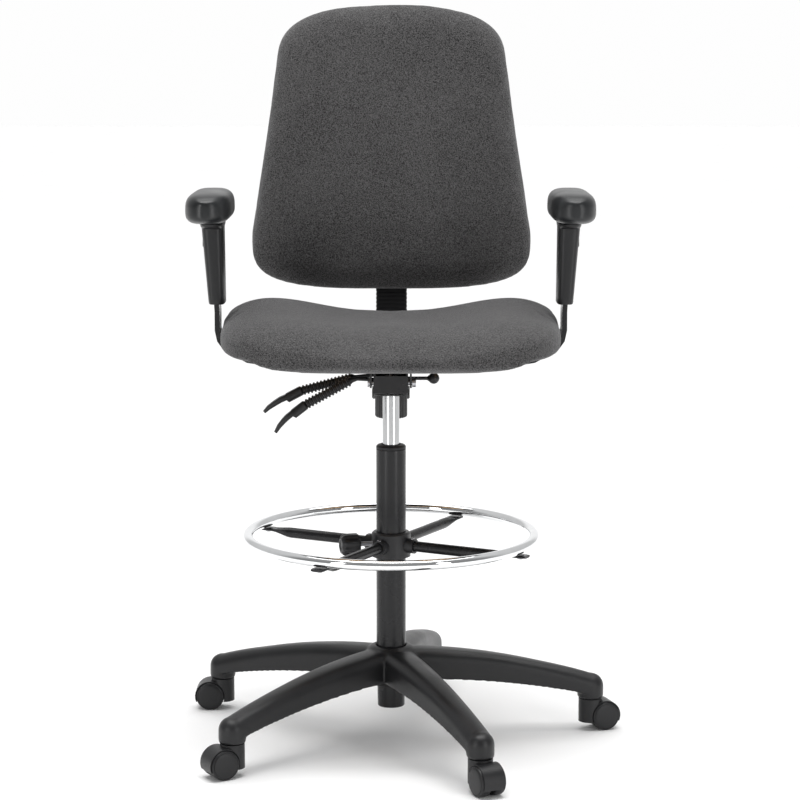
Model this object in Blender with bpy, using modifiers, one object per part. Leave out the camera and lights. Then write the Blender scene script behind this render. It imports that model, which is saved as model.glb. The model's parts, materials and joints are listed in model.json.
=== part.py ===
"""Drafting chair as an assembly of separate pieces, in metres with +Z up.

The origin is on the floor, on the axis of the gas column. The sitter faces -Y, and +X is the
sitter's left. Each piece is one object, and each moving piece has its origin on its joint's axis.
"""

import math

import bmesh
import bpy
from mathutils import Matrix, Vector

GAP = 0.0003  # air left between neighbouring pieces

# Base and casters
LEG_COUNT = 5
LEG_RADIUS = 0.3454  # column axis to caster stem
FIRST_LEG_DEG = 24.3  # turned from the front towards the sitter's left
LEG_HALF_WIDTH = 0.0225
LEG_WALL = 0.0035
CAP_BOTTOM_Z = 0.0555
CAP_TOP_Z = 0.0985
HUB_TOP_Z = 0.160
HUB_BOTTOM_Z = 0.094
WHEEL_RADIUS = 0.025
WHEEL_STEPS = 20
AXLE_Z = WHEEL_RADIUS * math.cos(math.pi / WHEEL_STEPS)
CASTER_TRAIL = 0.022
CASTER_HEADINGS_DEG = (-63.0, 18.0, 105.0, 180.0, 210.0)  # way each trail points, from +X
STEM_RADIUS = 0.0052

# Gas column
COLUMN_RADIUS = 0.025
COLUMN_TOP_Z = 0.5045
COLUMN_FOOT_Z = 0.053
CYLINDER_RADIUS = 0.014
CYLINDER_BOTTOM_Z = 0.160
CYLINDER_TOP_Z = 0.620
ROD_RADIUS = 0.005
PIN_TOP_Z = 0.6270

# Foot ring
RING_RADIUS = 0.2412
RING_TUBE_RADIUS = 0.009
RING_Z = 0.349
RING_HUB_RADIUS = 0.033
RING_HUB_BOTTOM_Z = 0.3132
RING_HUB_TOP_Z = 0.3553
SPOKE_RADIUS = 0.009
SPOKE_Z = 0.3335
FIRST_SPOKE_DEG = -28.0
RING_KNOB_DEG = -74.0

# Mechanism
HOUSING_HALF_WIDTH = 0.0285
HOUSING_FRONT_Y = -0.075
HOUSING_REAR_Y = 0.100
HOUSING_BOTTOM_Z = 0.5955
HOUSING_TOP_Z = 0.630
SHEET = 0.003
TILT_PIVOT_Y = -0.050
TILT_PIVOT_Z = 0.6165
RECLINE_PIVOT_Y = 0.125
RECLINE_PIVOT_Z = 0.627
TENSION_Y = 0.078
SEAT_PLATE_Z = 0.6475
HEIGHT_LEVER_PIVOT = (-0.0285, 0.0, 0.6220)
BACK_LEVER_PIVOT = (-0.0285, -0.028, 0.6180)
LOCK_KNOB_AXIS = (0.0715, -0.012, 0.6180)

# Seat
SEAT_PAN_Z = 0.651
SEAT_PAN_THICKNESS = 0.012
SEAT_HALF_WIDTH = 0.281
SEAT_FRONT_Y = -0.240
SEAT_REAR_Y = 0.228

# Back
BACK_LEAN_DEG = 6.0
BAR_START_Y = 0.2618
BAR_START_Z = 0.664
BAR_TOP_S = 0.320
BAR_HALF_WIDTH = 0.025
BAR_THICKNESS = 0.006
BAR_BEND = 0.038
BACK_BOTTOM_Z = 0.7435
BACK_TOP_Z = 1.238
BACK_HALF_WIDTH = 0.2448

# Arms
UPRIGHT_X = 0.2885
UPRIGHT_THICKNESS = 0.008
UPRIGHT_HALF_DEPTH = 0.025
ARM_Y = 0.0
ARM_LEAN_DEG = 2.6
SLEEVE_BOTTOM_Z = 0.7435
SLEEVE_TOP_Z = 0.8785
BUTTON_Z = 0.845
PAD_BOTTOM_Z = 0.8790
PAD_THICKNESS = 0.053
PAD_LENGTH = 0.250
PAD_HALF_WIDTH = 0.0368

for leftover in list(bpy.data.objects):
    bpy.data.objects.remove(leftover, do_unlink=True)

CHAIR = bpy.data.collections.new("drafting_chair")
CUTTERS = bpy.data.collections.new("cutters")
bpy.context.scene.collection.children.link(CHAIR)
bpy.context.scene.collection.children.link(CUTTERS)


def material(name, color, roughness, metallic=0.0):
    made = bpy.data.materials.new(name)
    made.use_nodes = True
    shader = made.node_tree.nodes["Principled BSDF"]
    shader.inputs["Base Color"].default_value = (*color, 1.0)
    shader.inputs["Roughness"].default_value = roughness
    shader.inputs["Metallic"].default_value = metallic
    return made


NYLON = material("black_nylon", (0.030, 0.030, 0.032), 0.50)
PAINTED_STEEL = material("black_painted_steel", (0.020, 0.020, 0.022), 0.35)
CHROME = material("chrome", (0.80, 0.80, 0.81), 0.07, 1.0)
SATIN_STEEL = material("satin_steel", (0.60, 0.60, 0.60), 0.28, 1.0)
RUBBER = material("black_rubber", (0.018, 0.018, 0.018), 0.75)
ARM_FOAM = material("black_arm_foam", (0.028, 0.028, 0.030), 0.45)
PLYWOOD = material("plywood", (0.45, 0.30, 0.17), 0.60)
FABRIC = material("grey_fabric", (0.075, 0.073, 0.074), 0.95)


# Modelling helpers


def add(name, mesh, look, origin=(0.0, 0.0, 0.0), collection=CHAIR):
    """Adds a mesh drawn in world coordinates as an object whose origin is at the given point."""
    if look:
        mesh.materials.append(look)
    mesh.transform(Matrix.Translation(-Vector(origin)))
    piece = bpy.data.objects.new(name, mesh)
    piece.location = origin
    collection.objects.link(piece)
    if collection is CUTTERS:
        piece.hide_render = True
        piece.display_type = "WIRE"
    return piece


def mesh_from(bm, name):
    bmesh.ops.recalc_face_normals(bm, faces=bm.faces)
    mesh = bpy.data.meshes.new(name)
    bm.to_mesh(mesh)
    bm.free()
    mesh.shade_smooth()
    mesh.set_sharp_from_angle(angle=math.radians(35.0))
    return mesh


def box_mesh(low, high, name="box"):
    bm = bmesh.new()
    bmesh.ops.create_cube(bm, size=1.0)
    size = Vector(high) - Vector(low)
    middle = (Vector(high) + Vector(low)) / 2
    placed = Matrix.Translation(middle) @ Matrix.Diagonal((*size, 1))
    bmesh.ops.transform(bm, matrix=placed, verts=bm.verts)
    return mesh_from(bm, name)


def rod_mesh(start, end, radius, end_radius=None, steps=16, name="rod"):
    """A cylinder, or a cone where end_radius is given, between two points."""
    axis = Vector(end) - Vector(start)
    bm = bmesh.new()
    bmesh.ops.create_cone(
        bm,
        cap_ends=True,
        segments=steps,
        radius1=radius,
        radius2=radius if end_radius is None else end_radius,
        depth=axis.length,
    )
    turn = axis.to_track_quat("Z", "Y").to_matrix().to_4x4()
    middle = (Vector(start) + Vector(end)) / 2
    bmesh.ops.transform(bm, matrix=Matrix.Translation(middle) @ turn, verts=bm.verts)
    return mesh_from(bm, name)


def loft_mesh(rings, name="loft"):
    """Joins rings of equal point counts into one closed skin with flat ends."""
    bm = bmesh.new()
    rows = [[bm.verts.new(point) for point in ring] for ring in rings]
    count = len(rows[0])
    for row, after in zip(rows, rows[1:]):
        for i in range(count):
            bm.faces.new((row[i], row[(i + 1) % count], after[(i + 1) % count], after[i]))
    bm.faces.new(rows[0])
    bm.faces.new(rows[-1])
    return mesh_from(bm, name)


def prism_mesh(outline, axis, low, high, name="prism"):
    """Extrudes a flat outline along a world axis. The outline's pairs are the other two axes in order."""
    places = [i for i in range(3) if i != "XYZ".index(axis)]

    def lift(pair, depth):
        point = [0.0, 0.0, 0.0]
        point[places[0]], point[places[1]] = pair
        point["XYZ".index(axis)] = depth
        return point

    return loft_mesh([[lift(pair, depth) for pair in outline] for depth in (low, high)], name)


def turned_mesh(profile, steps, closed=False, name="turned"):
    """Turns a profile of (radius, height) pairs about Z, with the outer side running downwards."""
    mesh = bpy.data.meshes.new(name)
    count = len(profile)
    edges = [(i, i + 1) for i in range(count - 1)]
    if closed:
        edges.append((count - 1, 0))
    mesh.from_pydata([(radius, 0.0, height) for radius, height in profile], edges, [])
    source = bpy.data.objects.new(name, mesh)
    CUTTERS.objects.link(source)
    screw = source.modifiers.new("Screw", "SCREW")
    screw.steps = screw.render_steps = steps
    screw.use_merge_vertices = True
    screw.merge_threshold = 0.00005
    return baked(source, name)


def baked(source, name):
    """The evaluated mesh of an object, which is then removed."""
    graph = bpy.context.evaluated_depsgraph_get()
    mesh = bpy.data.meshes.new_from_object(source.evaluated_get(graph), depsgraph=graph)
    mesh.name = name
    bpy.data.objects.remove(source, do_unlink=True)
    mesh.shade_smooth()
    mesh.set_sharp_from_angle(angle=math.radians(35.0))
    return mesh


def combine(target, mesh, operation):
    """Cuts a mesh from a piece, or joins one to it, with an exact Boolean."""
    name = f"{target.name}_{operation.lower()}_{len(target.modifiers)}"
    cutter = add(name, mesh, None, collection=CUTTERS)
    modifier = target.modifiers.new(operation.title(), "BOOLEAN")
    modifier.operation = operation
    modifier.solver = "EXACT"
    modifier.object = cutter


def cut(target, *meshes):
    for mesh in meshes:
        combine(target, mesh, "DIFFERENCE")


def join(target, *meshes):
    for mesh in meshes:
        combine(target, mesh, "UNION")


def strip_outline(path, thickness):
    """The outline of a strip of even thickness that follows a path of pairs."""
    left, right = [], []
    for i, point in enumerate(path):
        before = Vector(path[max(i - 1, 0)])
        after = Vector(path[min(i + 1, len(path) - 1)])
        along = (after - before).normalized()
        side = Vector((-along.y, along.x)) * thickness / 2
        left.append(tuple(Vector(point) + side))
        right.append(tuple(Vector(point) - side))
    return left + right[::-1]


def power(value, exponent):
    return math.copysign(abs(value) ** exponent, value)


def around(degrees, radius, height=0.0):
    """A point at an angle turned from the front towards the sitter's left."""
    angle = math.radians(degrees)
    return Vector((radius * math.sin(angle), -radius * math.cos(angle), height))


def arc(centre, radius, first_deg, last_deg, count):
    """Points on an arc, with angles turned from the first axis towards the second."""
    points = []
    for i in range(count):
        angle = math.radians(first_deg + (last_deg - first_deg) * i / (count - 1))
        points.append((centre[0] + radius * math.cos(angle), centre[1] + radius * math.sin(angle)))
    return points


def pivot(name, location):
    empty = bpy.data.objects.new(name, None)
    empty.location = location
    empty.empty_display_size = 0.03
    CHAIR.objects.link(empty)
    return empty


# Base


def leg_top(reach):
    return 0.155 - 0.5 * reach * reach


def leg_bottom(reach):
    return 0.1035 - 0.33 * reach * reach


def leg_ring(reach, half_width, drop, trim, turn):
    """One section across a leg: flat underneath, upright sides and an arched top."""
    low = leg_bottom(reach) - drop
    high = leg_top(reach) - trim
    shoulder = high - 0.018
    ring = [(-half_width, low), (half_width, low)]
    for i in range(7):
        angle = math.pi * i / 6
        ring.append((half_width * power(math.cos(angle), 0.8), shoulder + 0.018 * math.sin(angle)))
    return [turn @ Vector((across, -reach, height)) for across, height in ring]


def leg_mesh(turn):
    reaches = (0.020, 0.060, 0.110, 0.160, 0.210, 0.260, 0.305, LEG_RADIUS)
    rings = []
    for reach in reaches:
        flare = 0.1 * (0.35 - reach) ** 2
        rings.append(leg_ring(reach, LEG_HALF_WIDTH + flare, 0.0, 0.0, turn))
    return loft_mesh(rings, "leg")


def channel_mesh(turn):
    reaches = (0.058, 0.130, 0.200, 0.260, 0.316)
    rings = [leg_ring(reach, LEG_HALF_WIDTH - LEG_WALL, 0.030, 0.004, turn) for reach in reaches]
    return loft_mesh(rings, "channel")


def make_base():
    hub = [
        (0.0, HUB_TOP_Z),
        (0.0290, HUB_TOP_Z),
        (0.0360, HUB_TOP_Z - 0.004),
        (0.0440, HUB_TOP_Z - 0.013),
        (0.0470, HUB_TOP_Z - 0.025),
        (0.0430, HUB_BOTTOM_Z),
        (0.0, HUB_BOTTOM_Z),
    ]
    base = add("five_star_base", turned_mesh(hub, 30), NYLON)
    cap = [
        (0.0, CAP_TOP_Z),
        (0.0110, CAP_TOP_Z - 0.0008),
        (0.0175, CAP_TOP_Z - 0.0050),
        (0.0212, CAP_TOP_Z - 0.0120),
        (0.0225, CAP_TOP_Z - 0.0210),
        (0.0225, CAP_BOTTOM_Z),
        (0.0, CAP_BOTTOM_Z),
    ]
    for k in range(LEG_COUNT):
        degrees = FIRST_LEG_DEG + 360 / LEG_COUNT * k
        turn = Matrix.Rotation(math.radians(degrees), 3, "Z")
        join(base, leg_mesh(turn))
        cap_mesh = turned_mesh(cap, 20)
        cap_mesh.transform(Matrix.Translation(around(degrees, LEG_RADIUS)))
        join(base, cap_mesh)
    for k in range(LEG_COUNT):
        degrees = FIRST_LEG_DEG + 360 / LEG_COUNT * k
        turn = Matrix.Rotation(math.radians(degrees), 3, "Z")
        foot = around(degrees, LEG_RADIUS, 0.040)
        socket_top = around(degrees, LEG_RADIUS, 0.0905)
        cut(base, channel_mesh(turn), rod_mesh(foot, socket_top, STEM_RADIUS + GAP, steps=12))
    low, high = (0.0, 0.0, HUB_BOTTOM_Z - 0.002), (0.0, 0.0, HUB_TOP_Z + 0.002)
    cut(base, rod_mesh(low, high, column_radius(low[2]) + GAP, column_radius(high[2]) + GAP, steps=30))


# Casters: each is drawn with its stem on Z and its trail along +X


def wheel_meshes():
    profile = [
        (0.0, 0.0232),
        (0.0234, 0.0222),
        (WHEEL_RADIUS, 0.0208),
        (WHEEL_RADIUS, 0.0045),
        (0.0033, 0.0045),
        (0.0033, 0.0205),
        (0.0, 0.0205),
    ]
    left = turned_mesh(profile, WHEEL_STEPS, name="caster_wheel")
    left.transform(Matrix.Rotation(math.pi / WHEEL_STEPS, 4, "Z"))
    left.transform(Matrix.Rotation(-math.pi / 2, 4, "X"))
    right = left.copy()
    right.transform(Matrix.Rotation(math.pi, 4, "Z"))
    return left, right


def hood_mesh():
    """The stem, the barrel around it, the web between the wheels and the fender over them."""
    axle = Vector((CASTER_TRAIL, 0.0, AXLE_Z))
    side = Vector((0.0, 1.0, 0.0))
    fender = rod_mesh(axle - side * 0.0188, axle + side * 0.0188, 0.0268, steps=26)
    hood = add("hood", fender, None, collection=CUTTERS)
    join(hood, rod_mesh((0, 0, 0.012), (0, 0, CAP_BOTTOM_Z - GAP), 0.0201, steps=20))
    cut(hood, box_mesh((-0.03, -0.03, -0.01), (0.06, 0.03, 0.0145)))
    for way in (-1, 1):
        inner, outer = axle + side * way * 0.0042, axle + side * way * 0.030
        cut(hood, rod_mesh(inner, outer, 0.0256, steps=26))
    cut(hood, rod_mesh(axle - side * 0.01, axle + side * 0.01, 0.0033, steps=12))
    join(hood, rod_mesh((0, 0, 0.050), (0, 0, 0.0885), STEM_RADIUS, steps=12))
    return baked(hood, "caster_hood")


def make_casters():
    left, right = wheel_meshes()
    hood = hood_mesh()
    axle = rod_mesh((0, -0.0200, 0), (0, 0.0200, 0), 0.0030, steps=10, name="caster_axle")
    for mesh, look in ((left, NYLON), (right, NYLON), (hood, NYLON), (axle, SATIN_STEEL)):
        mesh.materials.append(look)
    for k, heading in enumerate(CASTER_HEADINGS_DEG):
        swivel = pivot(f"caster_{k + 1}_swivel", around(FIRST_LEG_DEG + 360 / LEG_COUNT * k, LEG_RADIUS))
        swivel.rotation_euler.z = math.radians(heading)
        stem, at_axle = (0.0, 0.0, 0.0), (CASTER_TRAIL, 0.0, AXLE_Z)
        pieces = (("hood", hood, stem), ("axle", axle, at_axle))
        for name, mesh, place in pieces + (("wheel_left", left, at_axle), ("wheel_right", right, at_axle)):
            piece = bpy.data.objects.new(f"caster_{k + 1}_{name}", mesh)
            piece.location = place
            piece.parent = swivel
            CHAIR.objects.link(piece)


# Gas column


def column_radius(height):
    """The tube's outer radius: straight above the hub, tapered down to its foot."""
    taper_top = HUB_TOP_Z + 0.005
    if height >= taper_top:
        return COLUMN_RADIUS
    return COLUMN_RADIUS - 0.0021 * (taper_top - height) / (taper_top - COLUMN_FOOT_Z)


def washer_profile(inner, outer, low, high):
    return [(outer, high), (outer, low), (inner, low), (inner, high)]


def make_column():
    tube_top = COLUMN_TOP_Z - 0.0075
    foot = COLUMN_FOOT_Z
    tube = [
        (COLUMN_RADIUS, tube_top),
        (COLUMN_RADIUS, HUB_TOP_Z + 0.005),
        (column_radius(foot), foot),
        (0.0205, foot),
        (0.0205, foot + 0.005),
        (0.0058, foot + 0.005),
        (0.0058, foot + 0.008),
        (0.0205, foot + 0.008),
        (0.0226, HUB_TOP_Z + 0.005),
        (0.0226, tube_top),
    ]
    add("column_tube", turned_mesh(tube, 28, closed=True), PAINTED_STEEL)
    bush = [
        (0.0165, COLUMN_TOP_Z),
        (0.0225, COLUMN_TOP_Z),
        (COLUMN_RADIUS, COLUMN_TOP_Z - 0.0025),
        (COLUMN_RADIUS, tube_top + GAP),
        (0.0222, tube_top + GAP),
        (0.0222, 0.415),
        (CYLINDER_RADIUS + GAP, 0.415),
        (CYLINDER_RADIUS + GAP, COLUMN_TOP_Z - 0.0025),
    ]
    add("column_bush", turned_mesh(bush, 24, closed=True), NYLON)
    bearing = washer_profile(0.0056, 0.0110, foot + 0.0083, foot + 0.0113)
    add("thrust_bearing", turned_mesh(bearing, 16, closed=True), SATIN_STEEL)


def make_gas_spring():
    foot = COLUMN_FOOT_Z
    rod = [
        (0.0, 0.332),
        (0.0113, 0.332),
        (0.0113, 0.320),
        (ROD_RADIUS, 0.320),
        (ROD_RADIUS, foot + 0.0141),
        (0.0085, foot + 0.0141),
        (0.0085, foot + 0.0116),
        (ROD_RADIUS, foot + 0.0116),
        (ROD_RADIUS, foot + 0.0005),
        (0.0, foot + 0.0005),
    ]
    add("piston_rod", turned_mesh(rod, 16), SATIN_STEEL)
    bumper = washer_profile(0.0053, 0.0125, foot + 0.0144, foot + 0.0200)
    add("rubber_bumper", turned_mesh(bumper, 16, closed=True), RUBBER)
    clip = washer_profile(0.0053, 0.0095, foot + 0.0030, foot + 0.0047)
    add("retaining_clip", turned_mesh(clip, 16, closed=True), SATIN_STEEL)
    cylinder = [
        (0.0036, CYLINDER_TOP_Z),
        (0.0126, CYLINDER_TOP_Z),
        (0.0138, 0.586),
        (CYLINDER_RADIUS, 0.582),
        (CYLINDER_RADIUS, CYLINDER_BOTTOM_Z + 0.001),
        (CYLINDER_RADIUS - 0.001, CYLINDER_BOTTOM_Z),
        (0.0056, CYLINDER_BOTTOM_Z),
        (0.0056, CYLINDER_BOTTOM_Z + 0.010),
        (0.0118, CYLINDER_BOTTOM_Z + 0.010),
        (0.0118, 0.590),
        (0.0036, 0.590),
    ]
    add("gas_cylinder", turned_mesh(cylinder, 24, closed=True), SATIN_STEEL)
    add("release_pin", rod_mesh((0, 0, 0.5935), (0, 0, PIN_TOP_Z), 0.0030, steps=12), SATIN_STEEL)


# Foot ring


def spoke_mesh(degrees):
    """A round tube whose outer end is flattened to lie under the ring."""
    turn = Matrix.Rotation(math.radians(degrees), 3, "Z")
    stations = (
        (0.0386, SPOKE_RADIUS, SPOKE_RADIUS, SPOKE_Z),
        (0.2000, SPOKE_RADIUS, SPOKE_RADIUS, SPOKE_Z),
        (0.2260, 0.0120, 0.0032, SPOKE_Z + 0.0025),
        (0.2540, 0.0125, 0.0025, SPOKE_Z + 0.0032),
    )
    rings = []
    for reach, across, tall, middle in stations:
        ring = []
        for i in range(12):
            angle = 2 * math.pi * i / 12
            ring.append(turn @ Vector((across * math.cos(angle), -reach, middle + tall * math.sin(angle))))
        rings.append(ring)
    return loft_mesh(rings, "spoke")


def make_foot_ring():
    ring = [
        (RING_RADIUS + RING_TUBE_RADIUS * math.cos(a), RING_Z - RING_TUBE_RADIUS * math.sin(a))
        for a in (2 * math.pi * i / 10 for i in range(10))
    ]
    add("foot_ring", turned_mesh(ring, 48, closed=True), CHROME)
    collar = [
        (RING_HUB_RADIUS - 0.003, RING_HUB_TOP_Z),
        (RING_HUB_RADIUS, RING_HUB_TOP_Z - 0.003),
        (RING_HUB_RADIUS, RING_HUB_BOTTOM_Z),
        (COLUMN_RADIUS + GAP, RING_HUB_BOTTOM_Z),
        (COLUMN_RADIUS + GAP, RING_HUB_TOP_Z),
    ]
    hub = add("foot_ring_hub", turned_mesh(collar, 28, closed=True), NYLON)
    for k in range(4):
        degrees = FIRST_SPOKE_DEG + 90 * k
        add(f"foot_ring_spoke_{k + 1}", spoke_mesh(degrees), PAINTED_STEEL)
        ear_start, ear_end = around(degrees, 0.0290, SPOKE_Z), around(degrees, 0.0460, SPOKE_Z)
        join(hub, rod_mesh(ear_start, ear_end, 0.0125, steps=12))
    for k in range(4):
        degrees = FIRST_SPOKE_DEG + 90 * k
        socket_start, socket_end = around(degrees, 0.0380, SPOKE_Z), around(degrees, 0.0600, SPOKE_Z)
        cut(hub, rod_mesh(socket_start, socket_end, SPOKE_RADIUS + 2 * GAP, steps=12))
    knob_inner, knob_outer = (around(RING_KNOB_DEG, r, RING_Z - 0.013) for r in (0.020, 0.060))
    cut(hub, rod_mesh(knob_inner, knob_outer, 0.0044, steps=12))
    make_ring_knob()


def make_ring_knob():
    """A fluted hand knob whose stud clamps the collar to the column."""
    outline = []
    for i in range(40):
        angle = 2 * math.pi * i / 40
        outline.append((0.0182 - 0.0011 * math.cos(8 * angle), angle))
    rings = []
    for depth, scale in ((0.0560, 0.80), (0.0590, 1.0), (0.0800, 1.0), (0.0860, 0.86), (0.0885, 0.55)):
        rings.append([(r * scale * math.cos(a), r * scale * math.sin(a), depth) for r, a in outline])
    origin = Vector((0.0, 0.0, RING_Z - 0.013))
    way = around(RING_KNOB_DEG, 1.0).to_track_quat("Z", "Y").to_matrix().to_4x4()
    mesh = loft_mesh(rings, "knob")
    mesh.transform(Matrix.Translation(origin) @ way)
    knob = add("foot_ring_knob", mesh, NYLON, origin=around(RING_KNOB_DEG, 0.07, origin.z))
    stud_start, stud_end = (around(RING_KNOB_DEG, r, origin.z) for r in (COLUMN_RADIUS + 2 * GAP, 0.062))
    join(knob, rod_mesh(stud_start, stud_end, 0.0040, steps=12))


# Seat mechanism


def make_housing():
    wide, low, top = HOUSING_HALF_WIDTH, HOUSING_BOTTOM_Z, HOUSING_TOP_Z
    front, rear = HOUSING_FRONT_Y, HOUSING_REAR_Y
    side = [(front, low + 0.006), (front + 0.010, low), (rear, low)]
    side += [(rear, top - 0.013), (0.030, top), (front, top)]
    housing = add("mechanism_housing", prism_mesh(side, "X", -wide, wide), PAINTED_STEEL)
    rim = [(front + 0.012, low), (front + 0.022, low - 0.006), (0.0, low - 0.006)]
    rim += [(0.012, low), (0.012, low + 0.006), (front + 0.012, low + 0.006)]
    for way in (-1, 1):
        inner, outer = sorted((way * (wide - SHEET), way * (wide + 0.0015)))
        join(housing, prism_mesh(rim, "X", inner, outer))
    tray = [(front + SHEET, low + SHEET), (rear - SHEET, low + SHEET), (rear - SHEET, top + 0.02)]
    tray.append((front + SHEET, top + 0.02))
    cut(housing, prism_mesh(tray, "X", SHEET - wide, wide - SHEET))
    join(housing, rod_mesh((0, 0, low - 0.0055), (0, 0, low + 0.0180), 0.0205, steps=28))
    taper_low, taper_high = low - 0.009, low + 0.020
    cut(housing, rod_mesh((0, 0, taper_low), (0, 0, taper_high), 0.0142, 0.0133, steps=28))
    pin_ends = [(x, TILT_PIVOT_Y, TILT_PIVOT_Z) for x in (-0.04, 0.04)]
    cut(housing, rod_mesh(*pin_ends, 0.0053, steps=16))
    cut(housing, rod_mesh((0, TENSION_Y, low - 0.01), (0, TENSION_Y, low + 0.01), 0.0044, steps=16))
    for lever in (HEIGHT_LEVER_PIVOT, BACK_LEVER_PIVOT):
        window_low = (-0.034, lever[1] - 0.0052, lever[2] - 0.0060)
        cut(housing, box_mesh(window_low, (-0.023, lever[1] + 0.0052, lever[2] + 0.0065)))
    lock = Vector(LOCK_KNOB_AXIS)
    cut(housing, rod_mesh(lock - Vector((0.0535, 0, 0)), lock, 0.0034, steps=12))


def make_pivot_pin():
    ends = [(x, TILT_PIVOT_Y, TILT_PIVOT_Z) for x in (-0.0350, -0.0385, 0.0350, 0.0415)]
    pin = add("tilt_pivot_pin", rod_mesh(ends[1], ends[3], 0.0050, steps=16), SATIN_STEEL)
    join(pin, rod_mesh(ends[0], ends[1], 0.0080, steps=16), rod_mesh(ends[2], ends[3], 0.0080, steps=16))


def make_tension_adjuster():
    nut_z = HOUSING_BOTTOM_Z + SHEET + GAP
    shank = rod_mesh((0, TENSION_Y, 0.5580), (0, TENSION_Y, 0.6030), 0.0040, steps=12)
    bolt = add("tension_bolt", shank, SATIN_STEEL)
    join(bolt, rod_mesh((0, TENSION_Y, nut_z), (0, TENSION_Y, nut_z + 0.0062), 0.0070, steps=6))
    rings = []
    for height, scale in ((0.5390, 0.95), (0.5415, 1.0), (0.5890, 1.0), (0.5915, 0.94)):
        ring = []
        for i in range(48):
            angle = 2 * math.pi * i / 48
            radius = (0.0270 - 0.0007 * math.cos(12 * angle)) * scale
            ring.append((radius * math.cos(angle), TENSION_Y + radius * math.sin(angle), height))
        rings.append(ring)
    knob = add("tension_knob", loft_mesh(rings, "tension_knob"), NYLON, origin=(0, TENSION_Y, 0.565))
    cut(knob, rod_mesh((0, TENSION_Y, 0.5555), (0, TENSION_Y, 0.6000), 0.0044, steps=12))


def lever_mesh(path, depth_y):
    """A lever drawn along a path of (x, z, half height, half width): rod, sleeve, grip, curved tip."""
    points = [Vector((x, depth_y, z)) for x, z, _, _ in path]
    rings = []
    for i, point in enumerate(points):
        along = (points[min(i + 1, len(points) - 1)] - points[max(i - 1, 0)]).normalized()
        up = Vector((0, 1, 0)).cross(along).normalized()
        tall, deep = path[i][2], path[i][3]
        ring = []
        for k in range(10):
            angle = 2 * math.pi * k / 10
            across = Vector((0, deep * power(math.cos(angle), 0.8), 0))
            ring.append(point + up * tall * power(math.sin(angle), 0.8) + across)
        rings.append(ring)
    return loft_mesh(rings, "lever")


def make_levers():
    x, y, z = HEIGHT_LEVER_PIVOT
    height_path = [
        (0.0070, z + 0.0070, 0.0012, 0.0035),
        (-0.0080, z + 0.0068, 0.0014, 0.0035),
        (-0.0200, z + 0.0028, 0.0020, 0.0035),
        (x, z, 0.0032, 0.0036),
        (-0.0600, 0.6185, 0.0034, 0.0036),
        (-0.0640, 0.6178, 0.0062, 0.0062),
        (-0.1480, 0.5960, 0.0062, 0.0062),
        (-0.1500, 0.5955, 0.0072, 0.0095),
        (-0.1735, 0.5832, 0.0068, 0.0100),
        (-0.1760, 0.5850, 0.0036, 0.0105),
        (-0.1950, 0.5745, 0.0032, 0.0105),
        (-0.2130, 0.5590, 0.0020, 0.0070),
    ]
    add("height_lever", lever_mesh(height_path, y), NYLON, origin=HEIGHT_LEVER_PIVOT)
    x, y, z = BACK_LEVER_PIVOT
    back_path = [
        (-0.0170, z, 0.0020, 0.0030),
        (x, z, 0.0032, 0.0036),
        (-0.0560, 0.6195, 0.0034, 0.0036),
        (-0.0640, 0.6175, 0.0045, 0.0045),
        (-0.0680, 0.6160, 0.0062, 0.0062),
        (-0.1405, 0.5765, 0.0062, 0.0062),
        (-0.1430, 0.5750, 0.0072, 0.0095),
        (-0.1620, 0.5605, 0.0068, 0.0100),
        (-0.1650, 0.5620, 0.0036, 0.0105),
        (-0.1790, 0.5490, 0.0032, 0.0105),
        (-0.1930, 0.5290, 0.0020, 0.0070),
    ]
    add("back_lever", lever_mesh(back_path, y), NYLON, origin=BACK_LEVER_PIVOT)


def make_lock_knob():
    x, y, z = LOCK_KNOB_AXIS
    ball = [(0.0094 * math.sin(a), 0.0094 * math.cos(a)) for a in (math.pi * i / 6 for i in range(7))]
    ball[0] = (0.0, ball[0][1])
    ball[-1] = (0.0, ball[-1][1])
    mesh = turned_mesh(ball, 14)
    mesh.transform(Matrix.Translation((x, y, z)) @ Matrix.Rotation(math.pi / 2, 4, "Y"))
    knob = add("tilt_lock_knob", mesh, NYLON, origin=LOCK_KNOB_AXIS)
    join(knob, rod_mesh((x - 0.0525, y, z), (x, y, z), 0.0030, steps=10))


def make_seat_plate():
    bottom = SEAT_PLATE_Z
    sheet = box_mesh((-0.075, -0.100, bottom), (0.075, 0.146, bottom + SHEET))
    plate = add("seat_plate", sheet, PAINTED_STEEL)
    cheek = [
        (-0.078, bottom + 0.001),
        (-0.074, 0.618),
        (-0.062, 0.6085),
        (-0.040, 0.6085),
        (-0.034, 0.614),
        (-0.034, 0.636),
        (0.106, 0.638),
        (0.110, 0.616),
        (0.142, 0.616),
        (0.144, bottom + 0.001),
    ]
    for way in (-1, 1):
        inner, outer = sorted((way * 0.0315, way * 0.0345))
        join(plate, prism_mesh(cheek, "X", inner, outer))
    tilt_ends = [(x, TILT_PIVOT_Y, TILT_PIVOT_Z) for x in (-0.04, 0.04)]
    recline_ends = [(x, RECLINE_PIVOT_Y, RECLINE_PIVOT_Z) for x in (-0.04, 0.04)]
    cut(plate, rod_mesh(*tilt_ends, 0.0053, steps=16), rod_mesh(*recline_ends, 0.0053, steps=16))


# Back support


def on_back(s, n):
    """A (y, z) point by its height s up the leaning bar and its distance n in front of it."""
    lean = math.radians(BACK_LEAN_DEG)
    return (
        BAR_START_Y + s * math.sin(lean) - n * math.cos(lean),
        BAR_START_Z + s * math.cos(lean) + n * math.sin(lean),
    )


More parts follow.
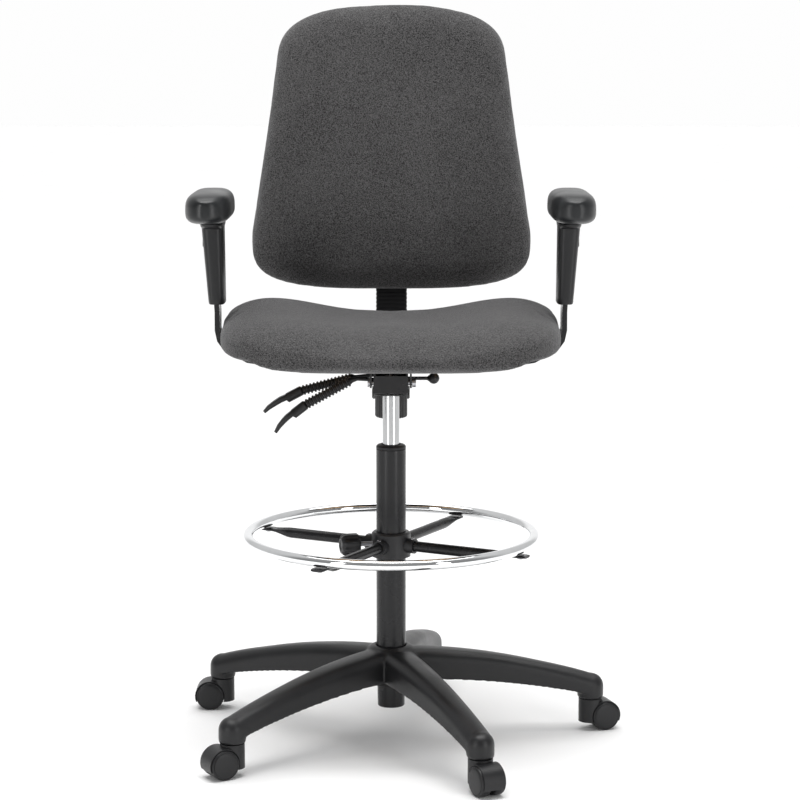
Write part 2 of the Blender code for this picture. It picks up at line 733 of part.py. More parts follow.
def tube_on_back(name, bottom_s, top_s, outer, inner, look):
    """A flat sleeve around the bar. Outer and inner are (half width, half thickness)."""

    def section(low, high, half):
        return [on_back(low, -half), on_back(low, half), on_back(high, half), on_back(high, -half)]

    piece = add(name, prism_mesh(section(bottom_s, top_s, outer[1]), "X", -outer[0], outer[0]), look)
    cut(piece, prism_mesh(section(bottom_s - 0.01, top_s + 0.01, inner[1]), "X", -inner[0], inner[0]))


def make_back_support():
    pivot_y, pivot_z = RECLINE_PIVOT_Y, RECLINE_PIVOT_Z
    side = [
        (pivot_y - 0.011, pivot_z - 0.010),
        (pivot_y + 0.045, pivot_z - 0.010),
        (pivot_y + 0.045, pivot_z + 0.014),
        (pivot_y - 0.011, pivot_z + 0.010),
    ]
    bracket = add(
        "back_bracket",
        prism_mesh(side, "X", -0.0305, 0.0305),
        PAINTED_STEEL,
        origin=(0.0, pivot_y, pivot_z),
    )
    slot_x, slot_z = BAR_HALF_WIDTH + GAP, BAR_THICKNESS / 2 + 0.0005
    slot_low = (-slot_x, pivot_y + 0.008, pivot_z - slot_z)
    cut(bracket, box_mesh(slot_low, (slot_x, 0.20, pivot_z + slot_z)))
    join(bracket, rod_mesh((-0.0375, pivot_y, pivot_z), (0.0375, pivot_y, pivot_z), 0.0050, steps=16))
    bend = arc((BAR_START_Y - BAR_BEND, pivot_z + BAR_BEND), BAR_BEND, -90.0, -BACK_LEAN_DEG, 8)
    path = [(pivot_y + 0.010, pivot_z), *bend, on_back(BAR_TOP_S, 0.0)]
    outline = strip_outline(path, BAR_THICKNESS)
    add("back_bar", prism_mesh(outline, "X", -BAR_HALF_WIDTH, BAR_HALF_WIDTH), PAINTED_STEEL)
    hollow = (BAR_HALF_WIDTH + GAP, BAR_THICKNESS / 2 + GAP)
    tube_on_back("back_bar_cover", 0.012, 0.078, (0.0275, 0.0070), hollow, NYLON)
    tube_on_back("back_slider", 0.110, 0.270, (0.0320, 0.0080), hollow, NYLON)


def back_half_width(height):
    """Half the back's width at a height: sides that taper upwards, round shoulders and corners."""
    widest = 0.845
    side = BACK_HALF_WIDTH - 0.148 * max(height - widest, 0.0)
    if height > 1.150:
        t = min((height - 1.150) / (BACK_TOP_Z - 1.150), 1.0)
        return side * (1 - t**2.85) ** (1 / 2.5)
    if height < widest:
        t = min((widest - height) / (widest - BACK_BOTTOM_Z), 1.0)
        return side * (1 - t**4.0) ** (1 / 3.0)
    return side


def back_outline(inset, count=15):
    """(x, height) points round the back's outline, drawn in by the inset."""
    middle, half = (BACK_TOP_Z + BACK_BOTTOM_Z) / 2, (BACK_TOP_Z - BACK_BOTTOM_Z) / 2
    right = []
    for i in range(count + 1):
        angle = math.pi * (i / count - 0.5)
        height = middle + half * math.sin(angle) * 0.9995
        right.append((back_half_width(height), height))
    shrink = 1 - inset / half
    side_shrink = 1 - inset / BACK_HALF_WIDTH
    points = right + [(-x, z) for x, z in right[::-1]]
    return [(x * side_shrink, middle + (z - middle) * shrink) for x, z in points]


def back_layers(layers):
    """Rings of the back's outline at distances in front of the bar, each with its inset."""
    lean = math.radians(BACK_LEAN_DEG)
    rings = []
    for distance, inset in layers:
        ring = []
        for x, height in back_outline(inset):
            s = (height - BAR_START_Z) / math.cos(lean)
            y = on_back(s, 0.0)[0] - distance / math.cos(lean)
            ring.append((x, y, height))
        rings.append(ring)
    return rings


def make_backrest():
    shell = ((0.0083, 0.030), (0.0110, 0.016), (0.0183, 0.010))
    add("back_shell", loft_mesh(back_layers(shell)), NYLON)
    cushion_edge = ((0.0187, 0.008), (0.0300, 0.001), (0.0560, 0.000))
    cushion_face = ((0.0720, 0.010), (0.0800, 0.028), (0.0840, 0.070))
    add("back_cushion", loft_mesh(back_layers(cushion_edge + cushion_face)), FABRIC)


# Seat


def make_seat_pan():
    outline = []
    for i in range(36):
        angle = 2 * math.pi * i / 36
        outline.append((0.215 * power(math.cos(angle), 0.5), 0.008 + 0.192 * power(math.sin(angle), 0.5)))
    add("seat_pan", prism_mesh(outline, "Z", SEAT_PAN_Z, SEAT_PAN_Z + SEAT_PAN_THICKNESS), PLYWOOD)


def seat_top(x, y):
    """Height of the seat's top: a shallow hollow with raised sides and a rounded front."""
    middle = 0.7190 - 0.30 * max(y - 0.05, 0.0) ** 1.6 - 2.6 * max(-0.120 - y, 0.0) ** 2
    swell = 0.5 - 0.5 * math.cos(math.pi * min(abs(x) / 0.240, 1.0))
    rise = 0.014 + 0.018 * min(max((y + 0.15) / 0.25, 0.0), 1.0)
    return middle + rise * swell**1.3


def seat_bottom(y):
    """Height of the seat's underside: flat on the pan, with a lip that hangs in front of it."""
    lip = min(max((-0.192 - y) / 0.024, 0.0), 1.0)
    return SEAT_PAN_Z + SEAT_PAN_THICKNESS + GAP - 0.017 * lip


def make_seat_cushion():
    middle_y = (SEAT_FRONT_Y + SEAT_REAR_Y) / 2
    half_depth = (SEAT_REAR_Y - SEAT_FRONT_Y) / 2
    rings = []
    for t in (-0.995, -0.965, -0.90, -0.80, -0.65, -0.42, -0.15, 0.15, 0.42, 0.65, 0.82, 0.93, 0.985):
        y = middle_y + half_depth * t
        half_width = SEAT_HALF_WIDTH * (1 - abs(t) ** 4.0) ** (1 / 3.0)
        fullness = (1 - abs(t) ** 9) ** 0.5
        waist = 0.6930 - 0.016 * max(-t - 0.55, 0.0) / 0.45
        ring = []
        for i in range(24):
            angle = 2 * math.pi * i / 24
            squareness = 0.53 if math.sin(angle) > 0 else 0.50
            x = half_width * power(math.cos(angle), squareness)
            lift = power(math.sin(angle), squareness)
            reach = seat_top(x, y) - waist if lift > 0 else waist - seat_bottom(y)
            ring.append((x, y, waist + lift * reach * fullness))
        rings.append(ring)
    add("seat_cushion", loft_mesh(rings), FABRIC)


# Arms


def on_arm(height, way):
    """x of the arm's centre line at a height, for the arm on that side."""
    lean = math.tan(math.radians(ARM_LEAN_DEG))
    return way * (UPRIGHT_X + 0.0005 + lean * (height - SLEEVE_BOTTOM_Z))


def arm_section(height, half_width, half_depth, way):
    """A rounded rectangle across the sleeve at a height."""
    ring = []
    for i in range(16):
        angle = 2 * math.pi * (i + 0.5) / 16
        x = on_arm(height, way) + half_width * power(math.cos(angle), 0.45)
        ring.append((x, ARM_Y + half_depth * power(math.sin(angle), 0.45), height))
    return ring


def pad_mesh(way):
    centre_x = on_arm(PAD_BOTTOM_Z, way) + way * 0.004
    waist = PAD_BOTTOM_Z + 0.42 * PAD_THICKNESS
    rings = []
    for t in (-0.99, -0.93, -0.80, -0.55, 0.0, 0.55, 0.80, 0.93, 0.99):
        y = ARM_Y + PAD_LENGTH / 2 * t
        size = (1 - abs(t) ** 5.0) ** (1 / 2.2)
        ring = []
        for i in range(14):
            angle = 2 * math.pi * i / 14
            x = centre_x + PAD_HALF_WIDTH * size * power(math.cos(angle), 0.75)
            lift = power(math.sin(angle), 0.8)
            reach = 0.58 * PAD_THICKNESS if lift > 0 else 0.42 * PAD_THICKNESS
            ring.append((x, y, waist + lift * reach * (0.35 + 0.65 * size)))
        rings.append(ring)
    return loft_mesh(rings, "arm_pad")


def button_mesh(first_x, last_x, spare):
    """The height button's block, or its pocket where it is given some spare room."""
    low_x, high_x = sorted((first_x, last_x))
    half_y, half_z = 0.009 + spare, 0.007 + spare
    return box_mesh((low_x, ARM_Y - half_y, BUTTON_Z - half_z), (high_x, ARM_Y + half_y, BUTTON_Z + half_z))


def make_arm(side, way):
    foot_z = SEAT_PAN_Z - GAP - UPRIGHT_THICKNESS / 2
    top_z = 0.855
    lower_bend = [(0.105, foot_z), (0.222, foot_z), (0.238, foot_z + 0.0025), (0.262, 0.6625)]
    upper_bend = [(0.2765, 0.6710), (0.2850, 0.6830), (UPRIGHT_X, 0.7000)]
    path = [(way * x, z) for x, z in lower_bend + upper_bend]
    path += [(on_arm(height, way), height) for height in (0.7300, 0.7400, top_z)]
    depth = UPRIGHT_HALF_DEPTH
    outline = strip_outline(path, UPRIGHT_THICKNESS)
    add(f"arm_{side}_upright", prism_mesh(outline, "Y", ARM_Y - depth, ARM_Y + depth), PAINTED_STEEL)

    sections = ((SLEEVE_BOTTOM_Z, 0.0135, 0.0340), (0.810, 0.0160, 0.0360), (0.866, 0.0180, 0.0390))
    flange = ((0.8725, 0.0190, 0.0600), (SLEEVE_TOP_Z, 0.0192, 0.0640))
    rings = [arm_section(z, wide, deep, way) for z, wide, deep in sections + flange]
    sleeve = add(f"arm_{side}_sleeve", loft_mesh(rings), NYLON)
    slot_wide = UPRIGHT_THICKNESS / 2 + 2 * GAP
    slot_rings = []
    for height in (0.730, 0.890):
        x = on_arm(height, way)
        corners = ((-1, -1), (1, -1), (1, 1), (-1, 1))
        slot_rings.append([(x + slot_wide * a, ARM_Y + (depth + GAP) * b, height) for a, b in corners])
    cut(sleeve, loft_mesh(slot_rings))
    outer_x = on_arm(BUTTON_Z, way) + way * 0.0185
    button = button_mesh(outer_x - way * 0.0062, outer_x, 0.0)
    cut(sleeve, button_mesh(outer_x - way * 0.0100, outer_x + way * 0.0100, GAP))
    add(f"arm_{side}_button", button, NYLON, origin=(outer_x, ARM_Y, BUTTON_Z))
    add(f"arm_{side}_pad", pad_mesh(way), ARM_FOAM)


make_base()
make_casters()
make_column()
make_gas_spring()
make_foot_ring()
make_housing()
make_pivot_pin()
make_tension_adjuster()
make_levers()
make_lock_knob()
make_seat_plate()
make_back_support()
make_backrest()
make_seat_pan()
make_seat_cushion()
make_arm("left", 1)
make_arm("right", -1)
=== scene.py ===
"""The drafting chair's looks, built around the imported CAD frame. Metres, +Z up, the sitter faces -Y."""

import json
import math

import bmesh
import bpy
import numpy as np
from mathutils import Matrix, Vector


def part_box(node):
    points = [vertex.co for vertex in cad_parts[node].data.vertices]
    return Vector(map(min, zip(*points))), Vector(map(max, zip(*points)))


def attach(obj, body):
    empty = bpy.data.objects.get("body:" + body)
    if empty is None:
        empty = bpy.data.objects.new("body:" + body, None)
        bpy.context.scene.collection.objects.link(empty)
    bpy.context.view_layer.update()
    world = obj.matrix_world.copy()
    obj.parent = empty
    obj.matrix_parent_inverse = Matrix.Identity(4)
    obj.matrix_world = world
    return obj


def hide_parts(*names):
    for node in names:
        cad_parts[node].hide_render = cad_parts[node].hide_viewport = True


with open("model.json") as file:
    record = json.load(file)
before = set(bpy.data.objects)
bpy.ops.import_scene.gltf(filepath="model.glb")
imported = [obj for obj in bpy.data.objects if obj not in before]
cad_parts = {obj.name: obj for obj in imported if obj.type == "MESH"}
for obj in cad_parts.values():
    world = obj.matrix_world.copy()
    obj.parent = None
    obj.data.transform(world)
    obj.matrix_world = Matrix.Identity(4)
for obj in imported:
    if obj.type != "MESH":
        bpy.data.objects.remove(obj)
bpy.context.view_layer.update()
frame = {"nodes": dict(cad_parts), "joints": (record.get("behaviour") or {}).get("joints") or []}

NODES = frame["nodes"]
JOINTS = {joint["name"]: joint for joint in frame["joints"]}
SIDES = (("left", 1), ("right", -1))
CASTERS = range(1, 6)
UP, DOWN = (0, 0, 1), (0, 0, -1)
CORNERS = ((-1, -1), (1, -1), (1, 1), (-1, 1))


# Mesh helpers


def smoothed(mesh, crease_deg=30.0):
    mesh.shade_smooth()
    mesh.set_sharp_from_angle(angle=math.radians(crease_deg))
    return mesh


def mesh_of(bm, name, crease_deg=35.0):
    bmesh.ops.recalc_face_normals(bm, faces=bm.faces)
    mesh = bpy.data.meshes.new(name)
    bm.to_mesh(mesh)
    bm.free()
    return smoothed(mesh, crease_deg)


def linked(name, data):
    """A new object in the scene."""
    made = bpy.data.objects.new(name, data)
    bpy.context.scene.collection.objects.link(made)
    return made


def finished(made, look, body, replaces=()):
    """Material, body and slot for a piece in the scene, and the CAD nodes that it stands for."""
    made.data.materials.clear()
    made.data.materials.append(look)
    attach(made, body)
    if replaces:
        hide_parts(*replaces)
    return made


def piece(name, mesh, look, body, replaces=()):
    """Puts a mesh in the scene as a piece that rides on a body and may stand for CAD nodes."""
    return finished(linked(name, mesh), look, body, replaces)


def placed_piece(name, mesh, look, matrix, body, replaces=()):
    """A piece whose mesh several pieces share, put in place by its object."""
    made = linked(name, mesh)
    made.matrix_world = matrix
    return finished(made, look, body, replaces)


def dress(node, look, bevel):
    """Gives a CAD node a finished material and rounded edges. Its shape stays."""
    made = NODES[node]
    made.data.materials.clear()
    made.data.materials.append(look)
    smoothed(made.data)
    rounded(made, bevel)


def turns(count, shift=0.0):
    """Angles all the way round, in equal steps."""
    return [2 * math.pi * (i + shift) / count for i in range(count)]


def circle(radius, height, count):
    return [(radius * math.cos(a), radius * math.sin(a), height) for a in turns(count)]


def loft(rings, name="loft", crease_deg=35.0, loop=False):
    """A closed skin over rings of equal point counts. A loop joins the last ring to the first."""
    bm = bmesh.new()
    rows = [[bm.verts.new(point) for point in ring] for ring in rings]
    count = len(rows[0])
    pairs = list(zip(rows, rows[1:])) + ([(rows[-1], rows[0])] if loop else [])
    for row, after in pairs:
        for i in range(count):
            bm.faces.new((row[i], row[(i + 1) % count], after[(i + 1) % count], after[i]))
    if not loop:
        bm.faces.new(rows[0])
        bm.faces.new(rows[-1])
    return mesh_of(bm, name, crease_deg)


def lathe(profile, steps=64, name="lathe", crease_deg=30.0):
    """Turns (radius, height) pairs about Z. The profile closes on itself unless it starts on the axis."""
    bm = bmesh.new()
    rows = []
    for radius, height in profile:
        if radius < 1e-6:
            rows.append([bm.verts.new((0.0, 0.0, height))])
            continue
        rows.append([bm.verts.new(point) for point in circle(radius, height, steps)])
    pairs = list(zip(rows, rows[1:]))
    if profile[0][0] >= 1e-6:
        pairs.append((rows[-1], rows[0]))
    for row, after in pairs:
        for i in range(steps):
            j = (i + 1) % steps
            corners = [row[i % len(row)], row[j % len(row)], after[j % len(after)], after[i % len(after)]]
            corners = [c for k, c in enumerate(corners) if c not in corners[:k]]
            if len(corners) > 2:
                bm.faces.new(corners)
    return mesh_of(bm, name, crease_deg)


def box_mesh(low, high, name="box"):
    bm = bmesh.new()
    bmesh.ops.create_cube(bm, size=1.0)
    size = Vector(high) - Vector(low)
    middle = (Vector(high) + Vector(low)) / 2
    placed = Matrix.Translation(middle) @ Matrix.Diagonal((*size, 1))
    bmesh.ops.transform(bm, matrix=placed, verts=bm.verts)
    return mesh_of(bm, name)


def rod(start, end, radius, steps=48):
    """A solid cylinder between two points, for cuts and joins."""
    axis = Vector(end) - Vector(start)
    mesh = lathe([(0, 0), (radius, 0), (radius, axis.length), (0, axis.length)], steps, "rod")
    mesh.transform(Matrix.Translation(start) @ axis.to_track_quat("Z", "Y").to_matrix().to_4x4())
    return mesh


def point_at(mesh, place, direction):
    """Turns a mesh made along +Z to face a direction, and moves it to a place."""
    turn = Vector(direction).to_track_quat("Z", "Y").to_matrix().to_4x4()
    mesh.transform(Matrix.Translation(place) @ turn)
    return mesh


def evaluated(made, keep=False):
    """The object's mesh with its modifiers applied. The object goes unless it is kept."""
    graph = bpy.context.evaluated_depsgraph_get()
    mesh = bpy.data.meshes.new_from_object(made.evaluated_get(graph), depsgraph=graph)
    if not keep:
        bpy.data.objects.remove(made, do_unlink=True)
    return mesh


def combined(mesh, joins=(), cuts=()):
    """The mesh after exact Booleans with others."""
    helper = linked("combined", mesh)
    for operation, others in (("UNION", joins), ("DIFFERENCE", cuts)):
        for other in others:
            modifier = helper.modifiers.new(operation, "BOOLEAN")
            modifier.operation = operation
            modifier.solver = "EXACT"
            modifier.object = linked("tool", other)
    result = evaluated(helper, keep=True)
    tools = [modifier.object for modifier in helper.modifiers]
    for used in [helper, *tools]:
        bpy.data.objects.remove(used, do_unlink=True)
    return smoothed(result)


def merged(meshes):
    """Several closed meshes in one, side by side."""
    bm = bmesh.new()
    for mesh in meshes:
        bm.from_mesh(mesh)
    made = bpy.data.meshes.new("merged")
    bm.to_mesh(made)
    bm.free()
    return smoothed(made)


def rounded(made, width, segments=3, angle_deg=32.0):
    """Rounds an object's sharp edges, so that they catch the light."""
    bevel = made.modifiers.new("rounded_edges", "BEVEL")
    bevel.width = width
    bevel.segments = segments
    bevel.limit_method = "ANGLE"
    bevel.angle_limit = math.radians(angle_deg)
    bevel.harden_normals = True
    bevel.miter_outer = "MITER_ARC"
    return made


def remeshed(mesh, voxel, smooth_steps):
    """One skin over joined shapes, with the corners between them filled and softened."""
    helper = linked("remeshed", mesh)
    remesh = helper.modifiers.new("remesh", "REMESH")
    remesh.mode = "VOXEL"
    remesh.voxel_size = voxel
    smooth = helper.modifiers.new("smooth", "SMOOTH")
    smooth.factor = 0.5
    smooth.iterations = smooth_steps
    result = evaluated(helper)
    result.shade_smooth()
    return result


def power(value, exponent):
    return math.copysign(abs(value) ** exponent, value)


def around(degrees, radius, height=0.0):
    """A point at an angle turned from the front towards the sitter's left."""
    angle = math.radians(degrees)
    return Vector((radius * math.sin(angle), -radius * math.cos(angle), height))


def ease(value, low, high):
    """0 below low, 1 above high, and a smooth step between."""
    t = min(max((value - low) / (high - low), 0.0), 1.0)
    return t * t * (3 - 2 * t)


SCREW_STEPS = 24


def screw_head(radius, height):
    """A pan head with a hexagon socket, standing on z = 0."""
    rings = []
    for share, level in ((1.0, 0.0), (1.0, 0.35), (0.93, 0.72), (0.78, 0.94), (0.60, 1.0)):
        rings.append(circle(radius * share, height * level, SCREW_STEPS))
    for level in (1.0, 0.35):
        rings.append([hexagon_point(a, radius * 0.46, height * level) for a in turns(SCREW_STEPS)])
    return loft(rings, "screw_head", 40.0)


def make_screw(name, body, radius, height, place, direction):
    """A plated screw whose head faces a direction."""
    piece(name, point_at(screw_head(radius, height), place, direction), ZINC, body)


def hexagon_point(angle, size, height):
    """The point at this angle on a hexagon whose flats are this far from its centre."""
    flat = (angle + math.pi / 6) % (math.pi / 3) - math.pi / 6
    radius = size / math.cos(flat)
    return (radius * math.cos(angle), radius * math.sin(angle), height)


# Materials


class Look:
    """A node material on the Principled shader, mapped by the object's own coordinates in metres."""

    def __init__(self, name, color, roughness, metallic=0.0, specular=0.5):
        self.material = bpy.data.materials.new(name)
        self.material.use_nodes = True
        self.tree = self.material.node_tree
        self.shader = self.tree.nodes["Principled BSDF"]
        self.set("Base Color", (*color, 1.0))
        self.set("Roughness", roughness)
        self.set("Metallic", metallic)
        self.set("Specular IOR Level", specular)
        self.place = self.node("ShaderNodeTexCoord").outputs["Object"]

    def set(self, socket, value):
        self.shader.inputs[socket].default_value = value

    def node(self, kind, **inputs):
        made = self.tree.nodes.new(kind)
        for name, value in inputs.items():
            socket = made.inputs[name.replace("_", " ")]
            if isinstance(value, bpy.types.NodeSocket):
                self.tree.links.new(value, socket)
            else:
                socket.default_value = value
        return made

    def link(self, output, socket):
        self.tree.links.new(output, self.shader.inputs[socket])

    def stretched(self, scale):
        mapping = self.node("ShaderNodeMapping", Vector=self.place, Scale=scale)
        return mapping.outputs["Vector"]

    def noise(self, scale, detail=2.0, place=None, roughness=0.5):
        made = self.node(
            "ShaderNodeTexNoise", Vector=place or self.place, Scale=scale, Detail=detail, Roughness=roughness
        )
        return made.outputs["Fac"]

    def cells(self, scale, place=None):
        made = self.node("ShaderNodeTexVoronoi", Vector=place or self.place, Scale=scale)
        return made.outputs["Distance"]

    def ranged(self, value, low, high, to_low, to_high):
        """The value's span from low to high, stretched over a new span."""
        made = self.node("ShaderNodeMapRange", Value=value)
        for name, number in zip(("From Min", "From Max", "To Min", "To Max"), (low, high, to_low, to_high)):
            made.inputs[name].default_value = number
        return made.outputs["Result"]

    def math(self, operation, first, second):
        made = self.node("ShaderNodeMath")
        made.operation = operation
        for socket, value in zip(made.inputs, (first, second)):
            if isinstance(value, bpy.types.NodeSocket):
                self.tree.links.new(value, socket)
            else:
                socket.default_value = value
        return made.outputs["Value"]

    def tinted(self, amount, darker, lighter):
        """Base colour mixed between two shades by an amount from 0 to 1."""
        mix = self.node("ShaderNodeMix")
        mix.data_type = "RGBA"
        self.tree.links.new(amount, mix.inputs[0])
        mix.inputs[6].default_value = (*darker, 1.0)
        mix.inputs[7].default_value = (*lighter, 1.0)
        self.link(mix.outputs[2], "Base Color")

    def worn_edges(self):
        """0 on flat ground and 1 along outer edges."""
        pointed = self.node("ShaderNodeNewGeometry").outputs["Pointiness"]
        return self.ranged(pointed, 0.52, 0.60, 0.0, 1.0)

    def bump(self, height, distance, strength):
        made = self.node("ShaderNodeBump", Height=height, Distance=distance, Strength=strength)
        self.link(made.outputs["Normal"], "Normal")


def shade(color, factor):
    return tuple(channel * factor for channel in color)


def moulded_nylon(name, color, roughness):
    """Glass-filled nylon: fine spark grain, faint flow marks and rubbed edges."""
    look = Look(name, color, roughness, specular=0.36)
    marks = look.noise(14.0, 4.0)
    rubbed = look.math("MULTIPLY", look.worn_edges(), 0.45)
    amount = look.math("ADD", look.ranged(marks, 0.3, 0.7, 0.0, 0.55), rubbed)
    look.tinted(amount, shade(color, 0.80), shade(color, 1.45))
    look.link(look.ranged(marks, 0.3, 0.7, roughness - 0.05, roughness + 0.07), "Roughness")
    grain = look.math("ADD", look.cells(1500.0), look.noise(2600.0, 1.0))
    look.bump(grain, 0.00012, 0.55)
    return look.material


def powder_coat(name, color, roughness):
    """Black powder coat: orange peel, a soft gloss and thin spots on edges."""
    look = Look(name, color, roughness, specular=0.30)
    marks = look.noise(22.0, 3.0)
    thin = look.math("MULTIPLY", look.worn_edges(), 0.5)
    amount = look.math("ADD", look.ranged(marks, 0.35, 0.7, 0.0, 0.5), thin)
    look.tinted(amount, shade(color, 0.8), shade(color, 1.5))
    look.link(look.ranged(marks, 0.3, 0.7, roughness - 0.05, roughness + 0.08), "Roughness")
    look.bump(look.noise(620.0, 2.0), 0.00022, 0.35)
    return look.material


def polished_metal(name, color, roughness, line_scale=(900.0, 900.0, 900.0)):
    """Plated or ground steel: fine lines along one way and faint smudges."""
    look = Look(name, color, roughness, metallic=1.0)
    smudges = look.noise(35.0, 4.0, roughness=0.6)
    look.link(look.ranged(smudges, 0.35, 0.75, roughness * 0.7, roughness * 1.6), "Roughness")
    look.tinted(look.ranged(smudges, 0.3, 0.7, 0.0, 1.0), shade(color, 0.93), shade(color, 1.02))
    lines = look.noise(1.0, 2.0, look.stretched(line_scale))
    look.bump(lines, 0.00002, 0.25)
    return look.material


def soft_rubber(name, color):
    look = Look(name, color, 0.68, specular=0.35)
    marks = look.noise(60.0, 3.0)
    look.tinted(look.ranged(marks, 0.3, 0.7, 0.0, 1.0), shade(color, 0.8), shade(color, 1.4))
    look.bump(look.noise(1400.0, 2.0), 0.0001, 0.5)
    return look.material


def skinned_foam(name, color):
    """Self-skinned polyurethane: a shallow leather grain under a soft shine, duller where it is rubbed."""
    look = Look(name, color, 0.36, specular=0.42)
    rubbed = look.noise(18.0, 3.0)
    look.link(look.ranged(rubbed, 0.3, 0.75, 0.32, 0.42), "Roughness")
    look.tinted(look.ranged(rubbed, 0.3, 0.7, 0.0, 1.0), shade(color, 0.85), shade(color, 1.3))
    bent = look.math("ADD", look.cells(650.0), look.math("MULTIPLY", look.noise(1500.0, 2.0), 0.5))
    look.bump(bent, 0.00012, 0.35)
    return look.material


def bare_plywood(name, color):
    """Beech ply: long grain on the faces, and glued layers that show on the edge."""
    look = Look(name, color, 0.55)
    grain = look.noise(1.0, 5.0, look.stretched((160.0, 9.0, 160.0)), 0.6)
    layer_bands = look.node("ShaderNodeTexWave", Vector=look.place, Scale=270.0)
    layer_bands.bands_direction = "Z"
    layers = look.math("MULTIPLY", layer_bands.outputs["Fac"], 0.2)
    mixed = look.math("ADD", look.math("MULTIPLY", grain, 0.8), layers)
    look.tinted(look.ranged(mixed, 0.2, 0.8, 0.0, 1.0), shade(color, 0.62), shade(color, 1.15))
    look.bump(grain, 0.0002, 0.3)
    return look.material


def crepe_fabric(name, color):
    """Grey crepe upholstery: twisted yarns in short cells, flecks of light and dark, and a soft nap."""
    look = Look(name, color, 0.92, specular=0.2)
    look.set("Sheen Weight", 0.30)
    look.set("Sheen Roughness", 0.45)
    look.set("Sheen Tint", (0.75, 0.75, 0.76, 1.0))
    weave = look.cells(560.0)
    fleck = look.noise(540.0, 1.5, roughness=0.6)
    cloud = look.noise(9.0, 3.0)
    yarns = look.ranged(weave, 0.10, 0.70, 1.0, 0.0)
    flecks = look.ranged(fleck, 0.38, 0.62, 0.0, 1.0)
    clouds = look.ranged(cloud, 0.3, 0.7, 0.0, 1.0)
    amount = look.math("MULTIPLY", yarns, 0.38)
    amount = look.math("ADD", amount, look.math("MULTIPLY", flecks, 0.50))
    amount = look.math("ADD", amount, look.math("MULTIPLY", clouds, 0.12))
    look.tinted(amount, shade(color, 0.05), shade(color, 2.10))
    height = look.math("ADD", look.math("MULTIPLY", yarns, 0.7), look.math("MULTIPLY", flecks, 0.6))
    look.bump(height, 0.0008, 0.75)
    return look.material


def plain_floor(name):
    look = Look(name, (0.92, 0.92, 0.92), 0.75, specular=0.1)
    look.tinted(look.ranged(look.noise(2.0), 0.3, 0.7, 0.0, 1.0), (0.91, 0.91, 0.91), (0.93, 0.93, 0.93))
    return look.material


NYLON = moulded_nylon("moulded_black_nylon", (0.0105, 0.0105, 0.0115), 0.36)
DARK_NYLON = moulded_nylon("dark_black_nylon", (0.007, 0.007, 0.008), 0.48)
POWDER = powder_coat("black_powder_coat", (0.011, 0.011, 0.012), 0.24)
CHROME = polished_metal("polished_chrome", (0.86, 0.87, 0.88), 0.045)
GROUND = polished_metal("ground_steel", (0.66, 0.66, 0.67), 0.30, (60.0, 60.0, 2600.0))
SATIN = polished_metal("satin_cylinder_steel", (0.51, 0.515, 0.52), 0.16)
ZINC = polished_metal("zinc_plate", (0.45, 0.45, 0.47), 0.30)
RUBBER = soft_rubber("black_rubber", (0.015, 0.015, 0.016))
FOAM = skinned_foam("black_arm_skin", (0.009, 0.010, 0.011))
PLYWOOD = bare_plywood("beech_plywood", (0.50, 0.33, 0.18))
FABRIC = crepe_fabric("grey_crepe", (0.063, 0.0615, 0.062))


# Base


STEM = Vector(JOINTS["caster_1_swivel"]["pos_m"])
LEG_RADIUS = math.hypot(STEM.x, STEM.y)
FIRST_LEG_DEG = math.degrees(math.atan2(STEM.x, -STEM.y))
BASE_LOW, BASE_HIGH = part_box("five_star_base")
LEG_HALF_WIDTH = 0.0225
LEG_WALL = 0.0035
LEG_CROWN = 0.019
LEG_SQUARENESS = 0.72
CAP_TOP_Z = BASE_LOW.z + 0.043
CAP_CROWN = 0.0215
CAP_BLEND = 0.110
LEG_DEGREES = [FIRST_LEG_DEG + 72.0 * k for k in range(5)]


def leg_ridge(reach):
    """Height of a leg's top line, arching down from the hub."""
    return BASE_HIGH.z - 0.005 - 0.5 * reach * reach


CAP_RISE = CAP_TOP_Z - leg_ridge(LEG_RADIUS)


def leg_ring(reach, half_width, drop, trim, turn):
    """A section across a leg: flat underneath, with an arched top that turns into the end cap's."""
    end = ease(reach, LEG_RADIUS - CAP_BLEND, LEG_RADIUS)
    low = BASE_HIGH.z - 0.0565 - 0.33 * reach * reach - drop
    high = leg_ridge(reach) + CAP_RISE * end - trim
    crown = LEG_CROWN + (CAP_CROWN - LEG_CROWN) * end
    squareness = LEG_SQUARENESS + (1 - LEG_SQUARENESS) * end
    ring = [(-half_width - 0.0004, low), (half_width + 0.0004, low)]
    for i in range(17):
        angle = math.pi * i / 16
        across = half_width * power(math.cos(angle), squareness)
        ring.append((across, high - crown + crown * math.sin(angle)))
    return [turn @ Vector((across, -reach, height)) for across, height in ring]


def leg_shape(turn, half_width, drop, trim, first, last):
    """A leg from one reach to another, a little wider near the hub.

    drop and trim lower its bottom and its top.
    """
    rings = []
    steps = 22
    for i in range(steps + 1):
        reach = first + (last - first) * i / steps
        flare = 0.1 * (0.35 - reach) ** 2
        rings.append(leg_ring(reach, half_width + flare, drop, trim, turn))
    return loft(rings, "leg")


def cap_profile():
    """The round end of a leg, from its top on the axis to its flat underside."""
    top, bottom = CAP_TOP_Z, BASE_LOW.z
    quarter = [math.pi * i / 24 for i in range(13)]
    crown = [(LEG_HALF_WIDTH * math.sin(a), top - CAP_CROWN * (1 - math.cos(a))) for a in quarter]
    return crown + [(LEG_HALF_WIDTH, bottom + 0.0022), (LEG_HALF_WIDTH - 0.002, bottom), (0.0, bottom)]


